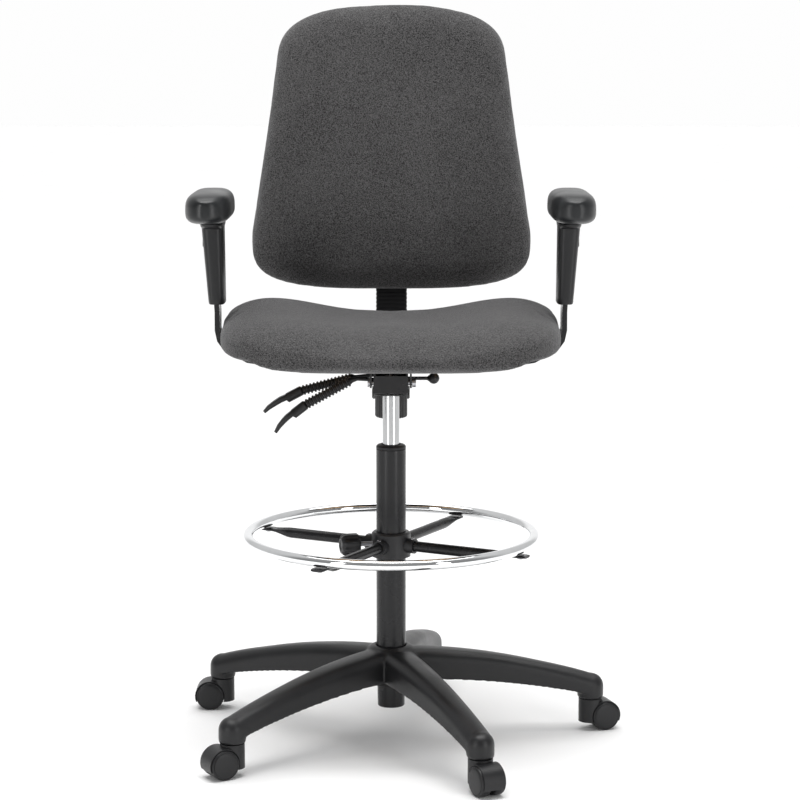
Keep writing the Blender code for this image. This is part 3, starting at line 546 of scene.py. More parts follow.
def make_base():
    top = BASE_HIGH.z
    hub = [(0.0, top), (0.0290, top), (0.0345, top - 0.002), (0.0400, top - 0.007), (0.0445, top - 0.014)]
    hub += [(0.0468, top - 0.022), (0.0468, top - 0.034), (0.0430, top - 0.064)]
    hub += [(0.0410, top - 0.066), (0.0, top - 0.066)]
    joins, cuts = [], []
    for degrees in LEG_DEGREES:
        turn = Matrix.Rotation(math.radians(degrees), 3, "Z")
        stem = around(degrees, LEG_RADIUS)
        cap = lathe(cap_profile(), 48)
        cap.transform(Matrix.Translation(stem))
        joins += [leg_shape(turn, LEG_HALF_WIDTH, 0.0, 0.0, 0.015, LEG_RADIUS), cap]
        cuts += [leg_shape(turn, LEG_HALF_WIDTH - LEG_WALL, 0.03, 0.004, 0.060, 0.314)]
        cuts += [rod(stem + Vector((0, 0, 0.03)), stem + Vector((0, 0, 0.0905)), 0.0062, 24)]
    cuts.append(rod((0, 0, 0.06), (0, 0, 0.20), 0.0256, 64))
    shape = combined(lathe(hub, 72), joins, cuts)
    piece("moulded_base", remeshed(shape, 0.0019, 18), NYLON, "base", ["five_star_base"])


# Casters, drawn with the stem on Z and the trail along +X


WHEEL_AXIS_Z = JOINTS["caster_1_wheel_left_spin"]["pos_m"][2]
TRAIL = (Vector(JOINTS["caster_1_wheel_left_spin"]["pos_m"]) - STEM).to_2d().length
FENDER_RADIUS = 0.0268
FENDER_HALF_WIDTH = 0.0188
BARREL_RADIUS = 0.0201


def wheel_mesh(way):
    """A nylon wheel with a domed outer disc, a groove round its edge and a crowned tread."""
    tread = WHEEL_AXIS_Z
    face = [(0.0, 0.0234), (0.0080, 0.02335), (0.0150, 0.0230), (0.0200, 0.0224), (0.0208, 0.0221)]
    groove = [(0.0210, 0.0213), (0.0216, 0.0213), (0.0218, 0.0219)]
    rim = [(0.0228, 0.0216), (0.0238, 0.0209), (tread - 0.0003, 0.0196), (tread, 0.0180), (tread, 0.0070)]
    inner = [(tread - 0.0004, 0.0055), (0.0236, 0.0046), (0.0180, 0.0045), (0.0170, 0.0075), (0.0075, 0.0075)]
    bore = [(0.0070, 0.0045), (0.0033, 0.0045), (0.0033, 0.0205), (0.0, 0.0205)]
    mesh = lathe(face + groove + rim + inner + bore, 72, "wheel", 28.0)
    mesh.transform(Matrix.Rotation(-way * math.pi / 2, 4, "X"))
    return mesh


def hood_mesh():
    axle = Vector((TRAIL, 0.0, WHEEL_AXIS_Z))
    side = Vector((0.0, 1.0, 0.0))
    fender = rod(axle - side * FENDER_HALF_WIDTH, axle + side * FENDER_HALF_WIDTH, FENDER_RADIUS, 72)
    barrel = rod((0, 0, 0.012), (0, 0, BASE_LOW.z - 0.0004), BARREL_RADIUS, 72)
    cuts = [box_mesh((-0.03, -0.03, -0.01), (0.06, 0.03, 0.0145))]
    for way in (-1, 1):
        cuts.append(rod(axle + side * way * 0.0042, axle + side * way * 0.030, 0.0255, 72))
    cuts.append(rod(axle - side * 0.01, axle + side * 0.01, 0.0033, 24))
    return combined(fender, [barrel], cuts)


def make_casters():
    hood = hood_mesh()
    wheels = {"left": wheel_mesh(1), "right": wheel_mesh(-1)}
    stem_profile = [(0.0, 0.0885), (0.0046, 0.0885), (0.0052, 0.0878), (0.0052, 0.0560)]
    stem_profile += [(0.0100, 0.0556), (0.0100, 0.0552), (0.0, 0.0552)]
    stem_mesh = lathe(stem_profile, 32, "stem")
    for k in CASTERS:
        stem = Vector(JOINTS[f"caster_{k}_swivel"]["pos_m"])
        axle = Vector(JOINTS[f"caster_{k}_wheel_left_spin"]["pos_m"])
        heading = math.atan2(axle.y - stem.y, axle.x - stem.x)
        turned = Matrix.Rotation(heading, 4, "Z")
        stand = Matrix.Translation((stem.x, stem.y, 0.0)) @ turned
        body = f"caster_{k}"
        cover = placed_piece(f"{body}_cover", hood, NYLON, stand, body, [f"{body}_hood"])
        rounded(cover, 0.0005, 2)
        placed_piece(f"{body}_stem", stem_mesh, ZINC, stand, body)
        for side, mesh in wheels.items():
            node = f"{body}_wheel_{side}"
            hub = Matrix.Translation(axle) @ turned
            placed_piece(f"{node}_disc", mesh, NYLON, hub, node, [node])


# Gas column


def make_column():
    low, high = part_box("column_tube")
    radius, foot_radius = high.x, 0.0229
    hub_top = BASE_HIGH.z + 0.005
    tube = [(radius - 0.0006, high.z), (radius, high.z - 0.0006), (radius, hub_top)]
    tube += [(foot_radius, low.z + 0.0012), (foot_radius - 0.0010, low.z)]
    tube += [(0.0205, low.z), (0.0205, low.z + 0.005), (0.0058, low.z + 0.005)]
    tube += [(0.0058, low.z + 0.008), (0.0205, low.z + 0.008), (0.0226, hub_top), (0.0226, high.z)]
    piece("column_sleeve", lathe(tube, 96), POWDER, "base", ["column_tube"])

    bush_low, bush_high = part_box("column_bush")
    top, lip = bush_high.z, radius
    bush = [(0.0172, top), (0.0205, top), (0.0222, top - 0.0005), (0.0240, top - 0.0018)]
    bush += [(lip, top - 0.0034), (lip, high.z + 0.0003), (0.0222, high.z + 0.0003)]
    bush += [(0.0222, bush_low.z), (0.0143, bush_low.z)]
    bush += [(0.0143, top - 0.0034), (0.0150, top - 0.0020)]
    piece("column_collar", lathe(bush, 96), DARK_NYLON, "base", ["column_bush"])


def make_cylinder():
    low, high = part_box("gas_cylinder")
    radius = high.x
    profile = [(0.0036, high.z), (0.0120, high.z), (0.0127, high.z - 0.0008)]
    profile += [(0.0138, 0.586), (radius, 0.582), (radius, low.z + 0.0012)]
    profile += [(radius - 0.0012, low.z), (0.0056, low.z), (0.0056, low.z + 0.010)]
    profile += [(0.0118, low.z + 0.010), (0.0118, 0.590), (0.0036, 0.590)]
    piece("lift_cylinder", lathe(profile, 96), SATIN, "lift", ["gas_cylinder"])


# Foot ring


RING_LOW, RING_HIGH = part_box("foot_ring")
RING_TUBE = (RING_HIGH.z - RING_LOW.z) / 2
RING_Z = (RING_HIGH.z + RING_LOW.z) / 2
RING_RADIUS = RING_HIGH.x - RING_TUBE
SPOKE_Z = 0.3335
SPOKE_RADIUS = 0.009
FIRST_SPOKE_DEG = -28.0
RING_KNOB_DEG = -74.0
RING_KNOB_Z = RING_Z - 0.013
SPOKE_START, SPOKE_END, SPOKE_TIP = 0.0386, 0.2540, 0.2475
SPOKE_DEGREES = [FIRST_SPOKE_DEG + 90.0 * k for k in range(4)]


def make_foot_ring():
    tube = []
    for angle in turns(28):
        tube.append((RING_RADIUS + RING_TUBE * math.cos(angle), RING_Z - RING_TUBE * math.sin(angle)))
    piece("chrome_ring", lathe(tube, 192, crease_deg=60.0), CHROME, "foot_ring", ["foot_ring"])
    for number, degrees in enumerate(SPOKE_DEGREES, 1):
        make_spoke(number, degrees)
    make_ring_hub()
    make_ring_knob()


def make_spoke(number, degrees):
    """A tube whose end is pressed flat, curled under the ring and screwed to it."""
    turn = Matrix.Rotation(math.radians(degrees), 3, "Z")
    rings = []
    for i in range(34):
        reach = SPOKE_START + (SPOKE_END - SPOKE_START) * i / 33
        flat = ease(reach, 0.196, 0.230)
        tall = SPOKE_RADIUS + (0.0024 - SPOKE_RADIUS) * flat
        wide = SPOKE_RADIUS + (0.0124 - SPOKE_RADIUS) * flat
        if reach > SPOKE_TIP:
            wide *= math.sqrt(max(1 - ((reach - SPOKE_TIP) / 0.0110) ** 2, 0.1))
        middle = SPOKE_Z + 0.0032 * flat
        squareness = 1.0 - 0.35 * flat
        ring = []
        for angle in turns(32):
            across, up = power(math.cos(angle), squareness), power(math.sin(angle), squareness)
            ring.append(turn @ Vector((wide * across, -reach, middle + tall * up)))
        rings.append(ring)
    name = f"foot_ring_spoke_{number}"
    piece(f"{name}_tube", loft(rings, crease_deg=50.0), POWDER, "foot_ring", [name])
    place = around(degrees, RING_RADIUS, SPOKE_Z + 0.0009)
    make_screw(f"{name}_screw", "foot_ring", 0.0055, 0.0026, place, DOWN)


def make_ring_hub():
    low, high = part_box("foot_ring_hub")
    radius, bore = 0.033, 0.0253
    collar = [(radius - 0.003, high.z), (radius, high.z - 0.003), (radius, low.z)]
    collar += [(bore, low.z), (bore, high.z)]
    joins, cuts = [], []
    for degrees in SPOKE_DEGREES:
        joins.append(rod(around(degrees, 0.0290, SPOKE_Z), around(degrees, 0.0460, SPOKE_Z), 0.0125))
        cuts.append(rod(around(degrees, 0.0380, SPOKE_Z), around(degrees, 0.0600, SPOKE_Z), 0.0094))
    inner, outer = (around(RING_KNOB_DEG, radius, RING_KNOB_Z) for radius in (0.020, 0.060))
    cuts.append(rod(inner, outer, 0.0044))
    shape = combined(lathe(collar, 96), joins, cuts)
    hub = piece("foot_ring_clamp", shape, NYLON, "foot_ring", ["foot_ring_hub"])
    rounded(hub, 0.0006, 2)
    for number, degrees in enumerate(SPOKE_DEGREES, 1):
        place = around(degrees, 0.0415, SPOKE_Z + 0.0119)
        make_screw(f"foot_ring_clamp_screw_{number}", "foot_ring", 0.0036, 0.0018, place, UP)


def make_ring_knob():
    """A hand knob with eight soft lobes, a dished end and a steel stud."""
    stations = ((0.0560, 0.70), (0.0563, 0.78), (0.0575, 0.93), (0.0595, 1.0))
    stations += ((0.0790, 1.0), (0.0825, 0.965), (0.0855, 0.88), (0.0875, 0.76))
    stations += ((0.0885, 0.60), (0.0880, 0.50), (0.0868, 0.42), (0.0866, 0.20))
    rings = []
    for depth, share in stations:
        ring = []
        for angle in turns(96):
            radius = (0.0182 - 0.0011 * math.cos(8 * angle)) * share
            ring.append((radius * math.cos(angle), radius * math.sin(angle), depth))
        rings.append(ring)
    way = around(RING_KNOB_DEG, 1.0)
    grip = point_at(loft(rings, "knob", 50.0), (0, 0, RING_KNOB_Z), way)
    piece("foot_ring_grip", grip, NYLON, "foot_ring_knob", ["foot_ring_knob"])
    start, end = (around(RING_KNOB_DEG, radius, RING_KNOB_Z) for radius in (0.0256, 0.0575))
    piece("foot_ring_stud", threaded_rod(start, end, 0.0039, 0.00125), ZINC, "foot_ring_knob")


def threaded_rod(start, end, radius, pitch):
    """A stud with a ring for each turn of its thread."""
    length = (Vector(end) - Vector(start)).length
    profile = [(0.0, 0.0), (radius * 0.8, 0.0)]
    for i in range(int(length / pitch)):
        profile += [(radius, (i + 0.35) * pitch), (radius, (i + 0.55) * pitch)]
        profile.append((radius * 0.84, (i + 0.95) * pitch))
    profile += [(radius * 0.8, length), (0.0, length)]
    return point_at(lathe(profile, 24, "stud", 20.0), start, Vector(end) - Vector(start))


# Seat mechanism


HOUSING_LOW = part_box("mechanism_housing")[0]
HOUSING_FINS = 6
FIN_PITCH = 0.0085


def make_mechanism():
    dress("mechanism_housing", POWDER, 0.0009)
    dress("seat_plate", POWDER, 0.0007)
    dress("tilt_pivot_pin", ZINC, 0.0004)
    dress("tension_bolt", ZINC, 0.0003)
    for side, way in reversed(SIDES):
        inner, outer = sorted((way * 0.0298, way * 0.0312))
        for i in range(HOUSING_FINS):
            y = HOUSING_LOW.y + 0.026 + FIN_PITCH * i
            fin = box_mesh((inner, y, HOUSING_LOW.z + 0.0008), (outer, y + 0.0016, HOUSING_LOW.z + 0.0145))
            made = piece(f"housing_fin_{side}_{i + 1}", fin, POWDER, "lift")
            rounded(made, 0.0003, 2)
    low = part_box("tension_knob")[0]
    knob_y = JOINTS["tension_knob_turn"]["pos_m"][1]
    rings = []
    stations = ((0.0, 0.90), (0.0003, 0.93), (0.0015, 0.975), (0.0035, 1.0))
    stations += ((0.0470, 1.0), (0.0500, 0.985), (0.0522, 0.95), (0.0525, 0.90))
    for rise, share in stations:
        ring = []
        for angle in turns(192):
            flute = 0.5 + 0.5 * math.cos(24 * angle)
            radius = (0.0277 - 0.0014 * flute**3) * share
            ring.append((radius * math.cos(angle), knob_y + radius * math.sin(angle), low.z + rise))
        rings.append(ring)
    bore = rod((0, knob_y, 0.5555), (0, knob_y, 0.62), 0.0046, 24)
    grip = combined(loft(rings, "tension_grip", 50.0), cuts=[bore])
    piece("tension_grip", grip, NYLON, "tension_knob", ["tension_knob"])


# (forwards, up, half height, half depth) from the pivot, from the inner end to the claw
LEVER_PATHS = {
    "height_lever": (
        (0.0355, 0.0070, 0.0012, 0.0035),
        (0.0205, 0.0068, 0.0014, 0.0035),
        (0.0085, 0.0028, 0.0020, 0.0035),
        (0.0, 0.0, 0.0032, 0.0036),
        (-0.0315, -0.0035, 0.0034, 0.0036),
        (-0.0355, -0.0042, 0.0058, 0.0058),
        (-0.1195, -0.0260, 0.0058, 0.0058),
        (-0.1215, -0.0265, 0.0082, 0.0093),
        (-0.1450, -0.0388, 0.0080, 0.0098),
        (-0.1475, -0.0378, 0.0050, 0.0105),
        (-0.1570, -0.0420, 0.0050, 0.0106),
        (-0.1665, -0.0480, 0.0046, 0.0105),
        (-0.1765, -0.0550, 0.0040, 0.0092),
        (-0.1840, -0.0625, 0.0028, 0.0068),
    ),
    "back_lever": (
        (0.0115, 0.0, 0.0020, 0.0030),
        (0.0, 0.0, 0.0032, 0.0036),
        (-0.0275, 0.0015, 0.0034, 0.0036),
        (-0.0355, -0.0005, 0.0045, 0.0045),
        (-0.0395, -0.0020, 0.0058, 0.0058),
        (-0.1120, -0.0415, 0.0058, 0.0058),
        (-0.1145, -0.0430, 0.0082, 0.0093),
        (-0.1335, -0.0575, 0.0080, 0.0098),
        (-0.1365, -0.0570, 0.0050, 0.0105),
        (-0.1440, -0.0630, 0.0050, 0.0106),
        (-0.1505, -0.0695, 0.0046, 0.0105),
        (-0.1580, -0.0785, 0.0040, 0.0092),
        (-0.1640, -0.0885, 0.0028, 0.0068),
    ),
}
RIB_PITCH = 0.0062
SLEEVE_HALF_SIZE = 0.0058
RIB_SECTION = ((0.05, 0.0062), (0.30, 0.0062), (0.42, 0.0084), (0.82, 0.0084), (0.95, 0.0062))


def lever_stations(path):
    """The path's stations, with the bellows sleeve between its two equal ones cut into ribs."""
    stations = []
    for before, after in zip(path, path[1:]):
        stations.append(before)
        if before[2] == after[2] == SLEEVE_HALF_SIZE:
            length = math.hypot(after[0] - before[0], after[1] - before[1])
            ribs = round(length / RIB_PITCH)
            for i in range(ribs):
                for share, size in RIB_SECTION:
                    t = (i + share) / ribs
                    x, z = (before[k] + (after[k] - before[k]) * t for k in (0, 1))
                    stations.append((x, z, size, size))
    stations.append(path[-1])
    return stations


def lever_mesh(node, pivot):
    points = lever_stations(LEVER_PATHS[node])
    rings = []
    for i, (x, z, tall, deep) in enumerate(points):
        first, last = points[max(i - 1, 0)], points[min(i + 1, len(points) - 1)]
        along = Vector((last[0] - first[0], 0.0, last[1] - first[1])).normalized()
        up = Vector((0, 1, 0)).cross(along).normalized()
        squareness = 0.55 if deep > tall * 1.2 else 0.95
        ring = []
        for angle in turns(28):
            rise = up * tall * power(math.sin(angle), squareness)
            ring.append(pivot + Vector((x, deep * power(math.cos(angle), squareness), z)) + rise)
        rings.append(ring)
    return loft(rings, node, 32.0)


def make_levers():
    for node in LEVER_PATHS:
        pivot = Vector(JOINTS[f"{node}_pull"]["pos_m"])
        lever = piece(f"{node}_paddle", lever_mesh(node, pivot), NYLON, node, [node])
        rounded(lever, 0.0003, 1, 40.0)


def make_lock_knob():
    low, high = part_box("tilt_lock_knob")
    radius = (high.z - low.z) / 2
    centre = Vector((high.x - radius, (low.y + high.y) / 2, (low.z + high.z) / 2))
    reach = centre.x - low.x
    neck = reach - radius
    profile = [(0.0, 0.0), (0.0030, 0.0), (0.0030, neck - 0.0012), (0.0046, neck + 0.0004)]
    start = math.asin(0.0050 / radius)
    for i in range(16):
        angle = start + (math.pi - start) * i / 16
        profile.append((radius * math.sin(angle), reach - radius * math.cos(angle)))
    profile.append((0.0, reach + radius))
    mesh = point_at(lathe(profile, 48, "lock_ball", 40.0), (low.x, centre.y, centre.z), (1, 0, 0))
    piece("tilt_lock_ball", mesh, NYLON, "tilt_lock_knob", ["tilt_lock_knob"])


# Back


LEAN = math.atan2(JOINTS["back_height"]["axis"][1], JOINTS["back_height"]["axis"][2])
BAR_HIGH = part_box("back_bar")[1]
BAR_HALF_THICKNESS = 0.003
BAR_TOP = Vector(
    (0.0, BAR_HIGH.y - BAR_HALF_THICKNESS * math.cos(LEAN), BAR_HIGH.z - BAR_HALF_THICKNESS * math.sin(LEAN))
)
BACK_LOW, BACK_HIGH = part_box("back_cushion")
BACK_MIDDLE_Z = (BACK_HIGH.z + BACK_LOW.z) / 2
BACK_HALF_HEIGHT = (BACK_HIGH.z - BACK_LOW.z) / 2
BACK_OUTLINE_STEPS = 60
LUMBAR_RISE = 0.185
TOP_ROLL = 0.16


def on_back(x, height, distance):
    """A point at a world height, and at a distance in front of the leaning bar's centre plane."""
    y = BAR_TOP.y + (height - BAR_TOP.z) * math.tan(LEAN) - distance / math.cos(LEAN)
    return Vector((x, y, height))


def back_half_width(height):
    """Sides that taper upwards between full lower corners and round shoulders."""
    widest, shoulder = BACK_LOW.z + 0.1015, BACK_HIGH.z - 0.088
    side = BACK_HIGH.x - 0.148 * max(height - widest, 0.0)
    if height > shoulder:
        t = min((height - shoulder) / (BACK_HIGH.z - shoulder), 1.0)
        return side * (1 - t**2.85) ** (1 / 2.5)
    t = min(max(widest - height, 0.0) / (widest - BACK_LOW.z), 1.0)
    return side * (1 - t**4.0) ** (1 / 3.0)


def back_outline():
    """(x, height) points round the back, closest together where it bends most."""
    right = []
    for i in range(BACK_OUTLINE_STEPS + 1):
        height = BACK_MIDDLE_Z + BACK_HALF_HEIGHT * math.sin(math.pi * (i / BACK_OUTLINE_STEPS - 0.5))
        right.append((back_half_width(height), height))
    return right[:-1] + [(-x, z) for x, z in right[:0:-1]]


def inset_outline(inset):
    tall = 1 - inset / BACK_HALF_HEIGHT
    wide = 1 - inset / BACK_HIGH.x
    return [(x * wide, BACK_MIDDLE_Z + (z - BACK_MIDDLE_Z) * tall) for x, z in back_outline()]


def back_face(height):
    """How far the cushion's face lies back at a height: nothing at the lumbar, more below and above."""
    lumbar = BACK_LOW.z + LUMBAR_RISE
    below = max(lumbar - height, 0.0) / LUMBAR_RISE
    above = max(height - (BACK_HIGH.z - TOP_ROLL), 0.0) / TOP_ROLL
    return 0.020 * below**2.0 + 0.005 * above**2.0


CLOTH_PRESSURE = 4.0
CLOTH_FRAMES = 20
CUSHION_VOXEL = 0.0050
MOST_SWELL = {"back_cushion": 0.0050, "seat_cushion": 0.0045}


def back_cushion_mesh():
    """The foam's form: a crowned face whose edge rolls round to the shell."""
    edge = ((0.0195, 0.0130), (0.0235, 0.0060), (0.0300, 0.0025), (0.0400, 0.0010), (0.0500, 0.0020))
    face = ((0.0590, 0.0055), (0.0665, 0.0115), (0.0720, 0.0200), (0.0755, 0.0310), (0.0775, 0.0460))
    crown = ((0.0790, 0.0750), (0.0800, 0.1150), (0.0806, 0.1600), (0.0808, 0.2000), (0.0809, 0.2380))
    rings = []
    for distance, inset in edge + face + crown:
        share = ease(distance, 0.030, 0.075)
        rings.append([on_back(x, z, distance - share * back_face(z)) for x, z in inset_outline(inset)])
    return loft(rings, "back_foam", 60.0)


def puffed(mesh, node, name, free):
    """Swells a closed form as tight cloth under pressure, with each point's travel capped.

    free gives how freely each point moves, from 0 where it is fixed to 1.
    """
    made = linked(name, mesh)
    remesh = made.modifiers.new("remesh", "REMESH")
    remesh.mode = "VOXEL"
    remesh.voxel_size = CUSHION_VOXEL
    smooth = made.modifiers.new("smooth", "SMOOTH")
    smooth.iterations = 3
    form = evaluated(made, keep=True)
    made.modifiers.clear()
    made.data = form
    fit_to_box(form, node)
    before = points_of(form)
    cloth = made.modifiers.new("cloth", "CLOTH")
    cloth.settings.quality = 5
    cloth.settings.tension_stiffness = 25
    cloth.settings.compression_stiffness = 25
    cloth.settings.shear_stiffness = 15
    cloth.settings.bending_stiffness = 2.0
    cloth.settings.use_pressure = True
    cloth.settings.uniform_pressure_force = CLOTH_PRESSURE
    cloth.settings.effector_weights.gravity = 0.0
    cloth.point_cache.frame_start, cloth.point_cache.frame_end = 1, CLOTH_FRAMES
    for step in range(1, CLOTH_FRAMES + 1):
        bpy.context.scene.frame_set(step)
    swollen = evaluated(made, keep=True)
    moved = points_of(swollen) - before
    bpy.data.meshes.remove(swollen)
    made.modifiers.clear()
    bpy.context.scene.frame_set(1)
    cap = MOST_SWELL[node]
    length = np.linalg.norm(moved, axis=1, keepdims=True)
    moved *= cap * np.tanh(length / cap) / np.maximum(length, 1e-9)
    moved *= free(before)[:, None]
    form.vertices.foreach_set("co", (before + moved).astype(np.float32).ravel())
    fit_to_box(form, node)
    form.shade_smooth()
    finer = made.modifiers.new("finer", "SUBSURF")
    finer.levels = finer.render_levels = 1
    return made


def fit_to_box(mesh, node):
    """Stretches a mesh a little along each axis until its box is the CAD node's."""
    points = points_of(mesh)
    start, size = points.min(axis=0), np.ptp(points, axis=0)
    low, high = (np.array(corner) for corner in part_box(node))
    points = low + (points - start) * (high - low) / size
    mesh.vertices.foreach_set("co", points.astype(np.float32).ravel())
    mesh.update()


def points_of(mesh):
    points = np.empty(len(mesh.vertices) * 3, np.float32)
    mesh.vertices.foreach_get("co", points)
    return points.reshape(-1, 3).astype(float)


def make_back_cushion():
    def free(points):
        """0 where the foam is glued to the shell, 1 on the free face."""
        plane = BAR_TOP.y + (points[:, 2] - BAR_TOP.z) * math.tan(LEAN)
        distance = (plane - points[:, 1]) * math.cos(LEAN)
        return np.clip((distance - 0.022) / 0.012, 0.0, 1.0)

    cushion = puffed(back_cushion_mesh(), "back_cushion", "back_upholstery", free)
    finished(cushion, FABRIC, "backrest", ["back_cushion"])


def make_back_shell():
    """The outer shell, a shallow tray with a rolled rim, with its trim and the slider's screws."""
    layers = ((0.0183, 0.0160), (0.0183, 0.0105), (0.0178, 0.0096), (0.0165, 0.0094), (0.0130, 0.0108))
    layers += ((0.0110, 0.0135), (0.0096, 0.0180), (0.0088, 0.0240), (0.0085, 0.0330), (0.0084, 0.0500))
    layers += ((0.0083, 0.0900), (0.0083, 0.1500), (0.0083, 0.2100))
    rings = [[on_back(x, z, distance) for x, z in inset_outline(inset)] for distance, inset in layers]
    shell = loft(rings, "shell", 40.0)
    piece("back_outer_shell", shell, NYLON, "backrest", ["back_shell"])
    section = ((0.0185, 0.0105), (0.0181, 0.0080), (0.0190, 0.0062))
    section += ((0.0212, 0.0058), (0.0226, 0.0078), (0.0214, 0.0105))
    rings = [[on_back(x, z, distance) for x, z in inset_outline(inset)] for distance, inset in section]
    piece("back_edge_trim", loft(rings, "trim", 60.0, loop=True), DARK_NYLON, "backrest")
    slider_low, slider_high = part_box("back_slider")
    backwards = (0, math.cos(LEAN), -math.sin(LEAN))
    for side, way in reversed(SIDES):
        for row, height in enumerate((slider_low.z + 0.020, slider_high.z - 0.020), 1):
            place = on_back(way * 0.046, height, 0.0083)
            make_screw(f"back_screw_{side}_{row}", "backrest", 0.0050, 0.0022, place, backwards)


def make_back_support():
    dress("back_bar", POWDER, 0.0008)
    dress("back_bracket", POWDER, 0.0008)
    dress("back_slider", NYLON, 0.0018)
    low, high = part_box("back_bar_cover")
    rings = []
    ribs = 9
    for i in range(ribs):
        for share, size in ((0.0, 0.0), (0.25, 0.0009), (0.75, 0.0009), (1.0, 0.0)):
            height = low.z + 0.0012 + (high.z - low.z - 0.0024) * (i + share) / ribs
            rings.append(cover_ring(height, size - 0.0009))
    shape = loft(rings, "bar_cover", 30.0)
    hollow = loft([cover_ring(z, None) for z in (low.z - 0.01, high.z + 0.01)], "hollow")
    cover = combined(shape, cuts=[hollow])
    piece("back_bar_gaiter", cover, DARK_NYLON, "back", ["back_bar_cover"])


def cover_ring(height, growth):
    """A flat rounded section round the bar. Without a growth it is the bar's own, with a little room."""
    if growth is None:
        return [on_back(a * 0.0253, height, b * 0.0033) for a, b in CORNERS]
    ring = []
    for angle in turns(48, 0.5):
        x = (0.0275 + growth) * power(math.cos(angle), 0.22)
        ring.append(on_back(x, height, (0.0070 + growth) * power(math.sin(angle), 0.4)))
    return ring


# Seat


SEAT_LOW, SEAT_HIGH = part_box("seat_cushion")
PAN_LOW, PAN_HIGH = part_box("seat_pan")
SEAT_MIDDLE_Y = (SEAT_LOW.y + SEAT_HIGH.y) / 2
SEAT_HALF_DEPTH = (SEAT_HIGH.y - SEAT_LOW.y) / 2
SEAT_WAIST_Z = 0.6930
SEAT_LIP = 0.017
STAPLES = 44
STAPLE_INSET = -0.0180


def seat_top(x, y):
    """Height of the seat: hollow in the middle, raised at its sides and rolled down at the front."""
    middle = PAN_HIGH.z + 0.0555 - 0.30 * max(y - 0.05, 0.0) ** 1.6 - 2.6 * max(-0.120 - y, 0.0) ** 2
    swell = 0.5 - 0.5 * math.cos(math.pi * min(abs(x) / 0.240, 1.0))
    rise = 0.014 + 0.018 * min(max((y + 0.15) / 0.25, 0.0), 1.0)
    return middle + rise * swell**1.3


def seat_foam_mesh():
    """The foam's form, in sections from front to back, with a lip that hangs in front of the pan."""
    rings = []
    count = 44
    for i in range(count + 1):
        t = math.sin(math.pi * (i / count - 0.5)) * 0.9985
        y = SEAT_MIDDLE_Y + SEAT_HALF_DEPTH * t
        half_width = (SEAT_HIGH.x - 0.001) * (1 - abs(t) ** 4.0) ** (1 / 3.0)
        fullness = (1 - abs(t) ** 9) ** 0.5
        waist = SEAT_WAIST_Z - 0.016 * max(-t - 0.55, 0.0) / 0.45
        bottom = PAN_HIGH.z + 0.0008 - SEAT_LIP * ease(-y, 0.190, 0.214)
        ring = []
        for angle in turns(96):
            squareness = 0.53 if math.sin(angle) > 0 else 0.47
            x = half_width * power(math.cos(angle), squareness)
            lift = power(math.sin(angle), squareness)
            reach = seat_top(x, y) - waist if lift > 0 else waist - bottom
            ring.append((x, y, waist + lift * reach * fullness))
        rings.append(ring)
    return loft(rings, "seat_foam", 60.0)


def make_seat():
    def free(points):
        """0 where the cover is stapled under the foam, 1 above."""
        return np.clip((points[:, 2] - PAN_HIGH.z - 0.004) / 0.012, 0.0, 1.0)

    cushion = puffed(seat_foam_mesh(), "seat_cushion", "seat_upholstery", free)
    finished(cushion, FABRIC, "seat", ["seat_cushion"])
    dress("seat_pan", PLYWOOD, 0.0015)
    make_seat_wrap()
    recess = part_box("seat_plate")[1].z - 0.003
    for side, way in reversed(SIDES):
        for row, y in enumerate((-0.080, 0.126), 1):
            make_screw(f"seat_screw_{side}_{row}", "seat", 0.0052, 0.0024, (way * 0.060, y, recess), DOWN)


def pan_edge(angle, outward):
    """A point on the plywood pan's edge, seen from above, moved outwards by a distance."""
    middle = (PAN_LOW + PAN_HIGH) / 2
    half = (PAN_HIGH - PAN_LOW) / 2
    x, y = (half.x * power(math.cos(angle), 0.5), half.y * power(math.sin(angle), 0.5))
    normal = Vector((power(x / half.x, 3.0) / half.x, power(y / half.y, 3.0) / half.y)).normalized()
    return Vector((middle.x + x + normal.x * outward, middle.y + y + normal.y * outward))


def make_seat_wrap():
    """The cover's hem: it folds round the pan's edge, puckers a little and is stapled underneath."""
    section = ((0.0220, 0.0180), (0.0120, 0.0092), (0.0045, 0.0020), (0.0008, -0.0006), (-0.0040, -0.0013))
    section += ((-0.0260, -0.0012), (-0.0280, -0.0004), (-0.0040, 0.0010), (0.0040, 0.0120), (0.0120, 0.0190))
    rings = []
    for outward, lift in section:
        ring = []
        for i, angle in enumerate(turns(240)):
            pucker = 0.0004 * math.sin(i * 2 * math.pi / 6) if outward < 0.002 else 0.0
            edge = pan_edge(angle, outward)
            ring.append((edge.x, edge.y, PAN_LOW.z + lift - abs(pucker)))
        rings.append(ring)
    piece("seat_cover_hem", loft(rings, "hem", 50.0, loop=True), FABRIC, "seat")
    staples = []
    for angle in turns(STAPLES, 0.5):
        here, ahead = pan_edge(angle, STAPLE_INSET), pan_edge(angle + 0.03, STAPLE_INSET)
        along = (ahead - here).normalized()
        wire = box_mesh((-0.0050, -0.0005, -0.0004), (0.0050, 0.0005, 0.0004))
        turn = Matrix.Rotation(math.atan2(along.y, along.x), 4, "Z")
        wire.transform(Matrix.Translation((here.x, here.y, PAN_LOW.z - 0.0016)) @ turn)
        staples.append(wire)
    piece("seat_cover_staples", merged(staples), ZINC, "seat")


# Arms


SLEEVE_FOOT = 0.0135  # the sleeve's half width at its foot
PAD_FOOT_SHARE, PAD_CROWN_SHARE = 0.42, 0.58


